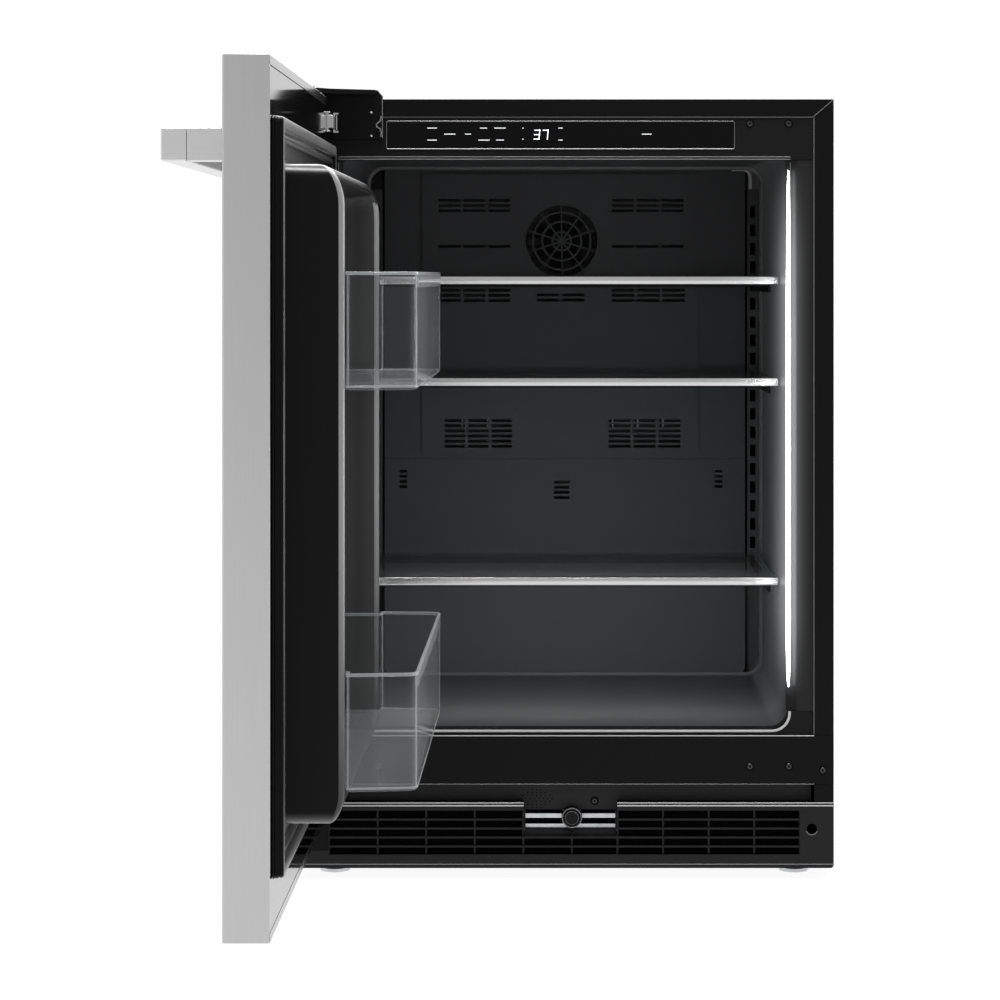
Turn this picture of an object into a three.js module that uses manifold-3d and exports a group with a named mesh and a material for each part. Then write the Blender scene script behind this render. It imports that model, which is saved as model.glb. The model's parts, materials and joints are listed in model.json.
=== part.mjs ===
// Undercounter refrigerator, 24-inch class, with a left-hung stainless door that stands open at a right angle.
// Millimetres, +X to the right as seen from the front, +Y towards the back, +Z up.
// The origin is on the underside of the base pan, at the middle of the cabinet's width and depth.
import * as THREE from "three";
import { mergeVertices } from "three/addons/utils/BufferGeometryUtils.js";
import Module from "manifold-3d";

const wasm = await Module();
wasm.setup();

// ---------------------------------------------------------------- driving dimensions

const WIDTH = 606; // cabinet, outside
const HEIGHT = 865; // underside of the base pan to the top
const DEPTH = 560; // front flange to the rear panel
const SHEET = 1; // outer steel
const GAP = 0.3; // between pieces that touch
const RUNNING = 0.1; // radial clearance of a turning or sliding fit
const ROUND = 24; // facets of a pin and its bore
const HALF = WIDTH / 2;
const FRONT = -DEPTH / 2; // plane of the front flange; depths below are measured back from it
const BACK = DEPTH / 2;

const FLANGE_X = 281; // inner edge of the side flanges
const FLANGE_Z = 846; // lower edge of the top flange
const CAVITY_X = 252; // half width of the cold space
const CAVITY_FLOOR = 155.5;
const CAVITY_CEILING = 806;
const CAVITY_DEPTH = 488;
const CAVITY_RADIUS = 20;
const LINER_WALL = 2.5;
const LINER_START = 24; // depth of the liner's front edge
const FOAM_BOTTOM = 112; // the machine compartment lies below it
const GRILLE_TOP = 74;
const GRILLE_DEPTH = 14;
const CROSSBAR_BOTTOM = 94;
const CROSSBAR_TOP = 149.5;
const FASCIA_BOTTOM = 797;
const SILL_TOP = 176;
const BACK_WALL = 433; // depth of the wall behind the shelves

const SHELF_TOPS = { top: 666.2, middle: 547, lower: 313.6 };
const SHELF_FRONT = 125;
const SHELF_BACK = 424;
const LADDER_PITCH = 23.5;

const HINGE_X = -283;
const HINGE_Y = FRONT - 30;
const DOOR_OPEN = -Math.PI / 2; // the door's turn from closed
const DOOR_FACE = FRONT - 55; // outer face of the closed door
const DOOR_INNER = FRONT - 12; // inner steel face of the closed door
const DOOR_BOTTOM = 64;
const DOOR_TOP = 866;
const DYKE_CREST = FRONT + 50; // how far the liner's raised rim reaches into the cavity
const BIN_FRONT = FRONT + 118;
const BIN_BOTTOMS = { upper_bin: 560, lower_bin: 188 };
const BIN_HEIGHT = 110;

const HANDLE_LENGTH = 544;
const HANDLE_STANDOFF = 60;
const HANDLE_BAR = 24;
const HANDLE_BOTTOM = 771;
const HANDLE_HEIGHT = 30;

// ---------------------------------------------------------------- materials

const finish = (color, roughness, metalness = 0, opacity = 1) =>
  new THREE.MeshStandardMaterial({ color, roughness, metalness, opacity, transparent: opacity < 1 });
const black_paint = finish(0x161616, 0.45, 0.3);
const black_plastic = finish(0x1c1c1c, 0.5);
const liner_plastic = finish(0x262626, 0.35);
const panel_gloss = finish(0x050505, 0.08);
const silver_trim = finish(0xc8c8c8, 0.25, 1);
const stainless = finish(0xb2b2b2, 0.35, 1);
const shelf_metal = finish(0xd2d2d2, 0.3, 1);
const shelf_glass = finish(0x9fb0ad, 0.05, 0, 0.35);
const clear_bin = finish(0xd8dcdc, 0.08, 0, 0.35);
const rubber = finish(0x2a2a2a, 0.6);
const light_lens = finish(0xffffff, 0.3);
const foam = finish(0xd9cfa8, 0.9);
const zinc = finish(0xc9ccd0, 0.3, 1);
const fin_aluminium = finish(0xb9bcc0, 0.4, 1);
const copper = finish(0xb4683f, 0.35, 1);
const machine_black = finish(0x111111, 0.4, 0.5);

// ---------------------------------------------------------------- shapes

function box(x0, x1, y0, y1, z0, z1) {
  const g = new THREE.BoxGeometry(x1 - x0, y1 - y0, z1 - z0);
  return g.translate((x0 + x1) / 2, (y0 + y1) / 2, (z0 + z1) / 2);
}

function polygon(points) {
  return new THREE.Shape(points.map(([u, v]) => new THREE.Vector2(u, v)));
}

// A rectangle with corner radii in the order low-left, low-right, high-right, high-left.
function rounded(u0, u1, v0, v1, radii) {
  const [a, b, c, d] = Array.isArray(radii) ? radii : [radii, radii, radii, radii];
  const s = new THREE.Shape();
  s.moveTo(u0 + a, v0);
  s.lineTo(u1 - b, v0);
  if (b) s.absarc(u1 - b, v0 + b, b, -Math.PI / 2, 0);
  s.lineTo(u1, v1 - c);
  if (c) s.absarc(u1 - c, v1 - c, c, 0, Math.PI / 2);
  s.lineTo(u0 + d, v1);
  if (d) s.absarc(u0 + d, v1 - d, d, Math.PI / 2, Math.PI);
  s.lineTo(u0, v0 + a);
  if (a) s.absarc(u0 + a, v0 + a, a, Math.PI, 1.5 * Math.PI);
  return s;
}

function circle(u, v, r) {
  const s = new THREE.Shape();
  s.absarc(u, v, r, 0, 2 * Math.PI);
  return s;
}

const extrude = (shape, depth, curveSegments) =>
  new THREE.ExtrudeGeometry(shape, { depth, bevelEnabled: false, curveSegments });

// Shape drawn in X and Z, filled from y0 to y1.
const frontPlate = (shape, y0, y1, segments = 6) =>
  extrude(shape, y1 - y0, segments).rotateX(Math.PI / 2).translate(0, y1, 0);

// Shape drawn in X and Y, filled from z0 to z1.
const floorPlate = (shape, z0, z1, segments = 6) => extrude(shape, z1 - z0, segments).translate(0, 0, z0);

// Shape drawn in Y and Z, filled from x0 to x1.
const SIDEWAYS = new THREE.Matrix4().makeBasis(
  new THREE.Vector3(0, 1, 0),
  new THREE.Vector3(0, 0, 1),
  new THREE.Vector3(1, 0, 0),
);
const sidePlate = (shape, x0, x1, segments = 6) =>
  extrude(shape, x1 - x0, segments).applyMatrix4(SIDEWAYS).translate(x0, 0, 0);

// A cylinder along an axis, from one end to the other.
function rod(axis, u, v, from, to, r, segments = ROUND) {
  const g = new THREE.CylinderGeometry(r, r, to - from, segments);
  const mid = (from + to) / 2;
  if (axis === "x") return g.rotateZ(Math.PI / 2).translate(mid, u, v);
  if (axis === "y") return g.translate(u, mid, v);
  return g.rotateX(Math.PI / 2).translate(u, v, mid);
}

function mirrored(geometry) {
  const g = geometry.clone().scale(-1, 1, 1);
  const count = g.attributes.position.count;
  const turned = g.index ? Array.from(g.index.array) : Array.from({ length: count }, (_, i) => i);
  for (let i = 0; i < turned.length; i += 3) [turned[i + 1], turned[i + 2]] = [turned[i + 2], turned[i + 1]];
  return g.setIndex(turned);
}

// ---------------------------------------------------------------- joins and cuts

function solid(geometry) {
  const bare = new THREE.BufferGeometry().setAttribute("position", geometry.attributes.position.clone());
  if (geometry.index) bare.setIndex(geometry.index.clone());
  const merged = mergeVertices(bare, 1e-3);
  return new wasm.Manifold(
    new wasm.Mesh({
      numProp: 3,
      vertProperties: merged.attributes.position.array,
      triVerts: new Uint32Array(merged.index.array),
    }),
  );
}

function geometryOf(made) {
  const mesh = made.getMesh();
  const g = new THREE.BufferGeometry();
  g.setAttribute("position", new THREE.BufferAttribute(new Float32Array(mesh.vertProperties), 3));
  g.setIndex(new THREE.BufferAttribute(new Uint32Array(mesh.triVerts), 1));
  g.computeVertexNormals();
  return g;
}

const join = (...geometries) => geometryOf(geometries.map(solid).reduce((a, b) => a.add(b)));
const cut = (base, ...tools) => geometryOf(tools.map(solid).reduce((a, b) => a.subtract(b), solid(base)));
const common = (a, b) => geometryOf(solid(a).intersect(solid(b)));

// A front plate with holes through it, each hole drawn like the plate.
const pierced = (shape, holes, y0, y1, segments) =>
  cut(frontPlate(shape, y0, y1, segments), ...holes.map((hole) => frontPlate(hole, y0 - 1, y1 + 1, segments)));

const cabinet = new THREE.Group();

function piece(name, geometry, material, parent = cabinet) {
  const mesh = new THREE.Mesh(geometry, material);
  mesh.name = name;
  parent.add(mesh);
}

// ---------------------------------------------------------------- outer cabinet

// One side of the wrapper: its sheet, front flange and hem, left out where the crossbar crosses.
function wrapperSide() {
  const toe = FRONT + GRILLE_DEPTH + 1.5;
  const web = sidePlate(
    polygon([
      [toe, 0],
      [BACK, 0],
      [BACK, HEIGHT],
      [FRONT, HEIGHT],
      [FRONT, GRILLE_TOP + 0.5],
      [toe, GRILLE_TOP + 0.5],
    ]),
    HALF - SHEET,
    HALF,
  );
  const flange = box(FLANGE_X, HALF, FRONT, FRONT + SHEET, GRILLE_TOP + 0.5, HEIGHT);
  const hem = box(FLANGE_X, FLANGE_X + SHEET, FRONT, FRONT + 6, CROSSBAR_TOP, FLANGE_Z + SHEET);
  const [z0, z1] = [CROSSBAR_BOTTOM - GAP, CROSSBAR_TOP + GAP];
  const crossing = box(FLANGE_X - 1, HALF + 1, FRONT - 1, FRONT + 1.5, z0, z1);
  return cut(join(web, flange, hem), crossing);
}

const inside = HALF - SHEET - GAP; // half width between the side sheets
piece(
  "cabinet_wrapper",
  join(
    wrapperSide(),
    mirrored(wrapperSide()),
    box(-HALF, HALF, FRONT, BACK, HEIGHT - SHEET, HEIGHT),
    box(-HALF, HALF, FRONT, FRONT + SHEET, FLANGE_Z, HEIGHT),
    box(-FLANGE_X - SHEET, FLANGE_X + SHEET, FRONT, FRONT + 6, FLANGE_Z, FLANGE_Z + SHEET),
  ),
  black_paint,
);

// Rear sheet with cooling slots to the machine compartment and a window for the power inlet.
const INLET = { x: 205, z: 70, width: 50, height: 34 };
function rearPanel() {
  const { x, z, width, height } = INLET;
  const holes = [rounded(x - width / 2, x + width / 2, z - height / 2, z + height / 2, 2)];
  for (let i = 0; i < 9; i++)
    for (const low of [30, 48, 66]) holes.push(rounded(-250 + i * 40, -224 + i * 40, low, low + 6, 0));
  return pierced(rounded(-inside, inside, 3, HEIGHT - SHEET - GAP, 0), holes, BACK - SHEET, BACK, 2);
}
piece("rear_panel", rearPanel(), zinc);

const inletRim = rounded(INLET.x - 24, INLET.x + 24, INLET.z - 16, INLET.z + 16, 3);
const inletSocket = rounded(INLET.x - 12, INLET.x + 12, INLET.z - 8, INLET.z + 8, 3);
piece(
  "power_inlet",
  cut(frontPlate(inletRim, BACK - 26, BACK, 3), frontPlate(inletSocket, BACK - 18, BACK + 1, 3)),
  black_plastic,
);

// Base pan: a tray with turned-up edges and four holes for the levelling legs.
const LEG_X = 262;
const LEG_YS = { front: FRONT + 50, rear: BACK - 40 };
const STUD_R = 5;
function basePan() {
  const [x, y0, y1] = [inside, FRONT + GRILLE_DEPTH + 2, BACK - SHEET - GAP];
  const tray = cut(box(-x, x, y0, y1, 0, 16), box(-x + 1.5, x - 1.5, y0 + 1.5, y1 - 1.5, 2, 17));
  const hole = (px, py) => rod("z", px, py, -1, 3, STUD_R + RUNNING);
  const holes = Object.values(LEG_YS).flatMap((y) => [hole(-LEG_X, y), hole(LEG_X, y)]);
  return cut(tray, ...holes);
}
piece("base_pan", basePan(), zinc);

// Crossbar below the cold space: a full-width face with returns behind it.
piece(
  "lower_crossbar",
  cut(
    join(
      box(-HALF, HALF, FRONT, FRONT + 1.2, CROSSBAR_BOTTOM, CROSSBAR_TOP),
      box(-inside, inside, FRONT, FRONT + 22, CROSSBAR_BOTTOM, CROSSBAR_TOP),
    ),
    box(-inside + 2, inside - 2, FRONT + 1.5, FRONT + 23, CROSSBAR_BOTTOM + 1.5, CROSSBAR_TOP - 1.5),
  ),
  black_paint,
);

piece("toe_panel", box(-279, 279, FRONT + 16, FRONT + 17.5, 63, CROSSBAR_BOTTOM - GAP), black_plastic);

// ---------------------------------------------------------------- kick grille, its latch bracket and knob

const FIELD_X = 265;
const KNOB = { x: 8.4, z: 55.7 };
const NOTCH = { x0: -46, x1: 59.5, z: 35.4 };
const SLAT_ZS = [23.1, 33.2, 43.3, 53.4]; // undersides of the slats
const SLAT = 2.2;
const RIB = 2;
function kickGrille() {
  const [y0, y1] = [FRONT, FRONT + GRILLE_DEPTH];
  const face = rounded(-HALF, HALF, 0, GRILLE_TOP, [4, 4, 0, 0]);
  const frame = cut(
    pierced(face, [circle(-278.3, 44, 6), circle(278.3, 44, 6)], y0, y1, 8),
    box(-HALF + 2, HALF - 2, y0 + 2, y1 + 1, 2, GRILLE_TOP - 2),
    box(-FIELD_X, FIELD_X, y0 - 1, y1, 15.2, 64.7),
  );
  const slats = SLAT_ZS.map((z) => box(-FIELD_X - 1, FIELD_X + 1, y0 + 0.4, y1 - 2, z, z + SLAT));
  const ribXs = [0, 1, 2, 3, 4].flatMap((i) => [
    -FIELD_X + ((KNOB.x + FIELD_X) * (i + 1)) / 5,
    FIELD_X - ((FIELD_X - KNOB.x) * (i + 1)) / 5,
  ]);
  const ribs = [...new Set([...ribXs.map((x) => Math.round(x * 10) / 10), -FIELD_X, FIELD_X])].map((x) =>
    box(x - RIB / 2, x + RIB / 2, y0 + 3, y1 - 1, 10, 68),
  );
  return cut(
    join(frame, ...slats, ...ribs),
    box(NOTCH.x0, NOTCH.x1, y0 - 1, y1 + 1, NOTCH.z + 1.1, GRILLE_TOP + 1),
  );
}
piece("kick_grille", kickGrille(), black_plastic);

// Two bright bars across the notch, tied by end posts, with a bored plate for the knob.
function latchBracket() {
  const [y0, y1] = [FRONT + 19, FRONT + 22];
  const bars = [
    [53, 57.8],
    [41.8, 46.2],
  ].map(([z0, z1]) => box(NOTCH.x0 - 1.5, NOTCH.x1 + 1.5, y0, y1, z0, z1));
  const posts = [NOTCH.x0 - 1.5, NOTCH.x1 - 1.5].map((x) => box(x, x + 3, y0, y1 + 8, 38, 57.8));
  const plate = box(KNOB.x - 10, KNOB.x + 10, y0 + 0.5, y1, 41.8, 62);
  return cut(join(...bars, ...posts, plate), rod("y", KNOB.x, KNOB.z, y0 - 1, y1 + 1, 4 + RUNNING));
}
piece("latch_bracket", latchBracket(), zinc);

piece(
  "grille_knob",
  join(
    rod("y", KNOB.x, KNOB.z, FRONT + 8, FRONT + 15.4, 11.6, 32),
    rod("y", KNOB.x, KNOB.z, FRONT + 3, FRONT + 9, 7.6, 28),
    rod("y", KNOB.x, KNOB.z, FRONT + 14, FRONT + 27, 4),
    box(KNOB.x - 1.5, KNOB.x + 1.5, FRONT + 11, FRONT + 14, KNOB.z - 17, KNOB.z - 8),
  ),
  black_plastic,
);

// ---------------------------------------------------------------- cold space

const linerShape = (grow) =>
  rounded(
    -CAVITY_X - grow,
    CAVITY_X + grow,
    CAVITY_FLOOR - grow,
    CAVITY_CEILING + grow,
    CAVITY_RADIUS + grow,
  );
piece(
  "inner_liner",
  cut(
    frontPlate(linerShape(LINER_WALL), FRONT + LINER_START, FRONT + CAVITY_DEPTH + LINER_WALL, 6),
    frontPlate(linerShape(0), FRONT, FRONT + CAVITY_DEPTH, 6),
  ),
  liner_plastic,
);
piece(
  "cabinet_foam",
  cut(
    box(-inside, inside, FRONT + LINER_START, BACK - SHEET - GAP, FOAM_BOTTOM, HEIGHT - SHEET - GAP),
    frontPlate(linerShape(LINER_WALL + GAP), FRONT, FRONT + CAVITY_DEPTH + LINER_WALL + GAP, 6),
  ),
  foam,
);

// Fascia above the opening, with the window of the control panel.
const CONTROL = { x0: -201, x1: 192, z0: 808.4, z1: 841 };
function fascia() {
  const x = FLANGE_X - GAP;
  const face = rounded(-x, x, FASCIA_BOTTOM, FLANGE_Z - GAP, 0);
  face.holes.push(rounded(CONTROL.x0 - GAP, CONTROL.x1 + GAP, CONTROL.z0 - GAP, CONTROL.z1 + GAP, 2.5));
  return join(
    frontPlate(face, FRONT + 2, FRONT + 5, 3),
    box(-x, x, FRONT + 2, FRONT + LINER_START - GAP, FASCIA_BOTTOM, FASCIA_BOTTOM + 2.5),
    box(-x, x, FRONT + 2, FRONT + 8, FASCIA_BOTTOM + 4.5, FASCIA_BOTTOM + 6),
    box(-x, x, FRONT + LINER_START - 3, FRONT + LINER_START - GAP, FASCIA_BOTTOM, CAVITY_CEILING + 8),
  );
}
piece("control_fascia", fascia(), black_plastic);

const bezel = rounded(CONTROL.x0, CONTROL.x1, CONTROL.z0, CONTROL.z1, 2.5);
bezel.holes.push(rounded(CONTROL.x0 + 1.6, CONTROL.x1 - 1.6, CONTROL.z0 + 1.6, CONTROL.z1 - 1.6, 1.5));
piece("control_bezel", frontPlate(bezel, FRONT + 0.8, FRONT + 5, 4), silver_trim);
piece(
  "control_glass",
  frontPlate(
    rounded(CONTROL.x0 + 1.9, CONTROL.x1 - 1.9, CONTROL.z0 + 1.9, CONTROL.z1 - 1.9, 1.2),
    FRONT + 1.2,
    FRONT + 5,
    4,
  ),
  panel_gloss,
);
piece(
  "control_board",
  box(CONTROL.x0 + 8, CONTROL.x1 - 8, FRONT + 7, FRONT + 9, CONTROL.z0 + 2, CONTROL.z1 - 2),
  finish(0x1f5c38, 0.6),
);

// Breaker strip: closes the gap from flange to liner, with a slanted seat for the light strip.
const STRIP_Z0 = SILL_TOP + GAP;
const STRIP_Z1 = FASCIA_BOTTOM - GAP;
const breakerStrip = () =>
  floorPlate(
    polygon([
      [FLANGE_X - GAP, FRONT + 3],
      [FLANGE_X - GAP, FRONT + LINER_START - GAP],
      [CAVITY_X - 1.5, FRONT + LINER_START - GAP],
      [CAVITY_X - 1.5, FRONT + 14.6],
      [CAVITY_X + 8.6, FRONT + 4.5],
      [CAVITY_X + 10.1, FRONT + 3],
    ]),
    STRIP_Z0,
    STRIP_Z1,
  );
piece("breaker_strip_right", breakerStrip(), black_plastic);
piece("breaker_strip_left", mirrored(breakerStrip()), black_plastic);

// Light strip: a slim lens with pointed ends that lies on the slanted seat.
const LIGHT = { z0: 203, z1: 785, half: 5.6, tip: 26, x: CAVITY_X + 2.2, y: FRONT + 8.1 };
function lightStrip() {
  const { z0, z1, half, tip } = LIGHT;
  const outline = polygon([
    [0, z0],
    [half, z0 + tip],
    [half, z1 - tip],
    [0, z1],
    [-half, z1 - tip],
    [-half, z0 + tip],
  ]);
  return frontPlate(outline, -1.1, 1.1).rotateZ(-Math.PI / 4).translate(LIGHT.x, LIGHT.y, 0);
}
piece("light_strip_right", lightStrip(), light_lens);
piece("light_strip_left", mirrored(lightStrip()), light_lens);

// Sill below the opening: its cut-out follows the rounded lower corners of the liner.
function cavitySill() {
  const x = FLANGE_X - GAP;
  const outer = frontPlate(rounded(-x, x, CROSSBAR_TOP + GAP, SILL_TOP, 0), FRONT + 3, FRONT + LINER_START - GAP);
  const opening = rounded(-CAVITY_X, CAVITY_X, CAVITY_FLOOR + 0.6, SILL_TOP + 60, CAVITY_RADIUS);
  return cut(outer, frontPlate(opening, FRONT, FRONT + LINER_START, 8));
}
piece("cavity_sill", cavitySill(), black_plastic);

// ---------------------------------------------------------------- back wall and cold air

const VENT_SLOT = 3.8;
const VENT_STEP = 6.6;
// A block of level slots: columns across, rows down from its top edge.
function vents(x0, x1, top, columns, rows) {
  const rib = 4;
  const width = (x1 - x0 - rib * (columns - 1)) / columns;
  const holes = [];
  for (let c = 0; c < columns; c++)
    for (let r = 0; r < rows; r++) {
      const x = x0 + c * (width + rib);
      const z = top - r * VENT_STEP - VENT_SLOT;
      holes.push(rounded(x, x + width, z, z + VENT_SLOT, 0));
    }
  return holes;
}

const WALL_X = 231;
const WALL_STEP = 432; // height of the joint between the upper and lower back wall
const RAISED = { x0: -183, x1: 171, z0: 440, z1: 797 };
const FAN = { x: -4, z: 711, r: 46 };
function evaporatorCover() {
  const upper = [
    ...vents(-162, -70, 765, 3, 3),
    ...vents(60, 152, 765, 3, 3),
    ...vents(-162, -70, 706, 3, 1),
    ...vents(60, 152, 706, 3, 1),
    ...vents(-162, -70, 650, 3, 3),
    ...vents(60, 154, 650, 3, 3),
    ...vents(-36, 25, 644, 2, 2),
    ...vents(-154, -68, 483, 3, 6),
    ...vents(56, 148, 483, 3, 6),
  ];
  const raised = rounded(RAISED.x0, RAISED.x1, RAISED.z0, RAISED.z1, 3);
  const wall = rounded(-WALL_X, WALL_X, WALL_STEP + GAP, CAVITY_CEILING - 2, 0);
  const window = rounded(RAISED.x0 + 3, RAISED.x1 - 3, RAISED.z0 + 3, RAISED.z1 - 3, 0);
  const rings = [12, 25, 37].map((r) => {
    const ring = circle(FAN.x, FAN.z, r + 1.3);
    ring.holes.push(circle(FAN.x, FAN.z, r - 1.3));
    return frontPlate(ring, FRONT + BACK_WALL - 3.5, FRONT + BACK_WALL - 1, 14);
  });
  const spokes = [0, 1, 2, 3, 4].map((i) =>
    box(-FAN.r - 1, FAN.r + 1, FRONT + BACK_WALL - 3.5, FRONT + BACK_WALL - 0.5, -1, 1)
      .rotateY((i * Math.PI) / 5 + 0.3)
      .translate(FAN.x, 0, FAN.z),
  );
  return join(
    pierced(raised, [...upper, circle(FAN.x, FAN.z, FAN.r)], FRONT + BACK_WALL - 4, FRONT + BACK_WALL + 3, 14),
    pierced(wall, [window], FRONT + BACK_WALL, FRONT + BACK_WALL + 3),
    ...rings,
    ...spokes,
  );
}
piece("evaporator_cover", evaporatorCover(), liner_plastic);

piece(
  "duct_cover",
  pierced(
    rounded(-WALL_X, WALL_X, CAVITY_FLOOR + 1, WALL_STEP, [10, 10, 0, 0]),
    [...vents(-14, 6, 404, 1, 4), ...vents(192, 202, 418, 1, 4), ...vents(-212, -202, 418, 1, 4)],
    FRONT + BACK_WALL,
    FRONT + BACK_WALL + 3,
  ),
  liner_plastic,
);

// Fins on level tubes.
function finnedCoil(x0, x1, y0, y1, z0, z1, fins, tubes) {
  const step = (x1 - x0 - 2) / (fins - 1);
  const plates = Array.from({ length: fins }, (_, i) => box(x0 + i * step, x0 + i * step + 1.2, y0, y1, z0, z1));
  const pitch = (z1 - z0) / tubes;
  const runs = Array.from({ length: tubes }, (_, i) =>
    rod("x", (y0 + y1) / 2, z0 + pitch * (i + 0.5), x0 - 8, x1 + 8, 4, 8),
  );
  return join(...plates, ...runs);
}
piece(
  "evaporator_coil",
  finnedCoil(-165, 160, FRONT + 448, FRONT + 487.7, 470, 630, 11, 3),
  fin_aluminium,
);

const SPINDLE_R = 2.5;
// Axial fan on a shaft along Y: hub, skewed blades and an open hub bore for the motor's spindle.
function fanWheel(x, z, y, tip, thickness, blades) {
  const hub = rod("y", 0, 0, 0, thickness, 12, 18);
  const wings = Array.from({ length: blades }, (_, i) =>
    box(9, tip, -0.8, 0.8, -9, 9)
      .rotateX(0.5)
      .translate(0, thickness / 2, 0)
      .rotateY((i * 2 * Math.PI) / blades),
  );
  return cut(join(hub, ...wings), rod("y", 0, 0, 3, thickness + 1, SPINDLE_R + RUNNING)).translate(x, y, z);
}
const fanFront = FRONT + BACK_WALL + 5;
piece("evaporator_fan", fanWheel(FAN.x, FAN.z, fanFront, 40, 14, 7), black_plastic);
piece(
  "evaporator_fan_motor",
  join(
    rod("y", FAN.x, FAN.z, fanFront + 16, fanFront + 36, 18, 20),
    rod("y", FAN.x, FAN.z, fanFront + 6, fanFront + 17, SPINDLE_R),
    box(FAN.x - 45, FAN.x + 45, fanFront + 34, FRONT + CAVITY_DEPTH - GAP, FAN.z - 6, FAN.z + 6),
  ),
  machine_black,
);

// Ladder rail: an angle with a column of slots that the shelf hooks enter.
const LADDER = { x0: 233.5, x1: 248, z0: 286, z1: 777, front: BACK_WALL - 5 };
function ladder() {
  const face = rounded(LADDER.x0, LADDER.x1, LADDER.z0, LADDER.z1, [0, 0, 3, 3]);
  const first = SHELF_TOPS.top - 12;
  const slots = Array.from({ length: 20 }, (_, i) => {
    const z = first + (i - 15) * LADDER_PITCH;
    return rounded(237, 244, z - 7.5, z + 7.5, 0);
  });
  return join(
    pierced(face, slots, FRONT + LADDER.front, FRONT + LADDER.front + 2, 3),
    box(LADDER.x1 - 2, LADDER.x1, FRONT + LADDER.front, FRONT + LADDER.front + 40, LADDER.z0, LADDER.z1 - 3),
  );
}
piece("shelf_ladder_right", ladder(), black_paint);
piece("shelf_ladder_left", mirrored(ladder()), black_paint);

// ---------------------------------------------------------------- shelves

function shelf(name, top) {
  const [y0, y1] = [FRONT + SHELF_FRONT, FRONT + SHELF_BACK];
  piece(name + "_glass", box(-247, 247, y0 + 3.3, y1, top - 5, top - 1), shelf_glass);
  piece(
    name + "_trim",
    cut(box(-250, 250, y0, y0 + 12, top - 10, top), box(-251, 251, y0 + 3, y0 + 13, top - 5.3, top - 0.7)),
    shelf_metal,
  );
  const tabEnd = FRONT + LADDER.front + 8;
  const arms = [-1, 1].flatMap((side) => {
    const [x0, x1] = side > 0 ? [239, 242] : [-242, -239];
    return [
      box(x0, x1, y0 + 12.5, y1 + 2, top - 19, top - 5.4),
      box(x0, x1, y1 + 1, tabEnd, top - 16, top - 8),
    ];
  });
  piece(
    name + "_frame",
    join(
      ...arms,
      box(-240, 240, y1 - 6, y1 - 3, top - 14, top - 5.4),
      box(-240, 240, y0 + 12.5, y0 + 15.5, top - 12, top - 5.4),
    ),
    black_paint,
  );
}
for (const [name, top] of Object.entries(SHELF_TOPS)) shelf("shelf_" + name, top);

// ---------------------------------------------------------------- machine compartment

const FLOOR_IN = 2 + GAP; // top of the base pan's sheet
piece(
  "compressor",
  join(
    new THREE.LatheGeometry(
      [
        [0, -105],
        [22, -103],
        [38, -94],
        [45, -78],
        [46, 78],
        [38, 94],
        [22, 103],
        [0, 105],
      ].map(([r, h]) => new THREE.Vector2(r, h)),
      22,
    )
      .rotateZ(Math.PI / 2)
      .translate(120, BACK - 110, 56),
    box(30, 210, BACK - 150, BACK - 70, FLOOR_IN, FLOOR_IN + 3),
    box(60, 70, BACK - 140, BACK - 80, FLOOR_IN, 40),
    box(170, 180, BACK - 140, BACK - 80, FLOOR_IN, 40),
  ),
  machine_black,
);
piece("condenser_coil", finnedCoil(-250, -60, FRONT + 40, FRONT + 100, FLOOR_IN, 104, 10, 3), fin_aluminium);
const COOLER = { x: 60, z: 57, r: 44 };
function fanShroud() {
  const [y0, y1] = [FRONT + 60, FRONT + 63];
  const plate = rounded(COOLER.x - 62, COOLER.x + 62, 6, 108, 6);
  plate.holes.push(circle(COOLER.x, COOLER.z, COOLER.r + 3));
  return join(
    frontPlate(plate, y0, y1, 8),
    box(COOLER.x - 60, COOLER.x + 60, y1 - 0.5, y1 + 6, FLOOR_IN, 8),
    box(COOLER.x - 50, COOLER.x + 50, y0, y1, COOLER.z - 3, COOLER.z + 3).translate(0, 20, 0),
    box(COOLER.x - 52, COOLER.x - 48, y0, y1 + 20, COOLER.z - 3, COOLER.z + 3),
    box(COOLER.x + 48, COOLER.x + 52, y0, y1 + 20, COOLER.z - 3, COOLER.z + 3),
    rod("y", COOLER.x, COOLER.z, y0 + 18, y0 + 42, 20, 18),
    rod("y", COOLER.x, COOLER.z, y0 + 6, y0 + 20, SPINDLE_R),
  );
}
piece("condenser_fan_shroud", fanShroud(), machine_black);
piece("condenser_fan", fanWheel(COOLER.x, COOLER.z, FRONT + 61, 42, 16, 5), black_plastic);

piece(
  "drain_pan",
  cut(
    box(-240, -60, BACK - 170, BACK - 52, FLOOR_IN, 44),
    box(-238, -62, BACK - 168, BACK - 54, FLOOR_IN + 2, 45),
  ),
  black_plastic,
);

// Discharge tube from the compressor to the condenser.
const tubeRoute = new THREE.CatmullRomCurve3(
  [
    [12.8, BACK - 110, 57],
    [4, BACK - 110, 58],
    [-12, BACK - 125, 68],
    [-20, BACK - 200, 78],
    [-20, FRONT + 190, 78],
    [-24, FRONT + 100, 62],
    [-36, FRONT + 72, 54],
    [-50.4, FRONT + 70, 53.3],
  ].map((p) => new THREE.Vector3(...p)),
);
piece(
  "discharge_tube",
  new THREE.ExtrudeGeometry(circle(0, 0, 3.2), { steps: 26, curveSegments: 4, extrudePath: tubeRoute }),
  copper,
);

// ---------------------------------------------------------------- levelling legs

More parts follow.
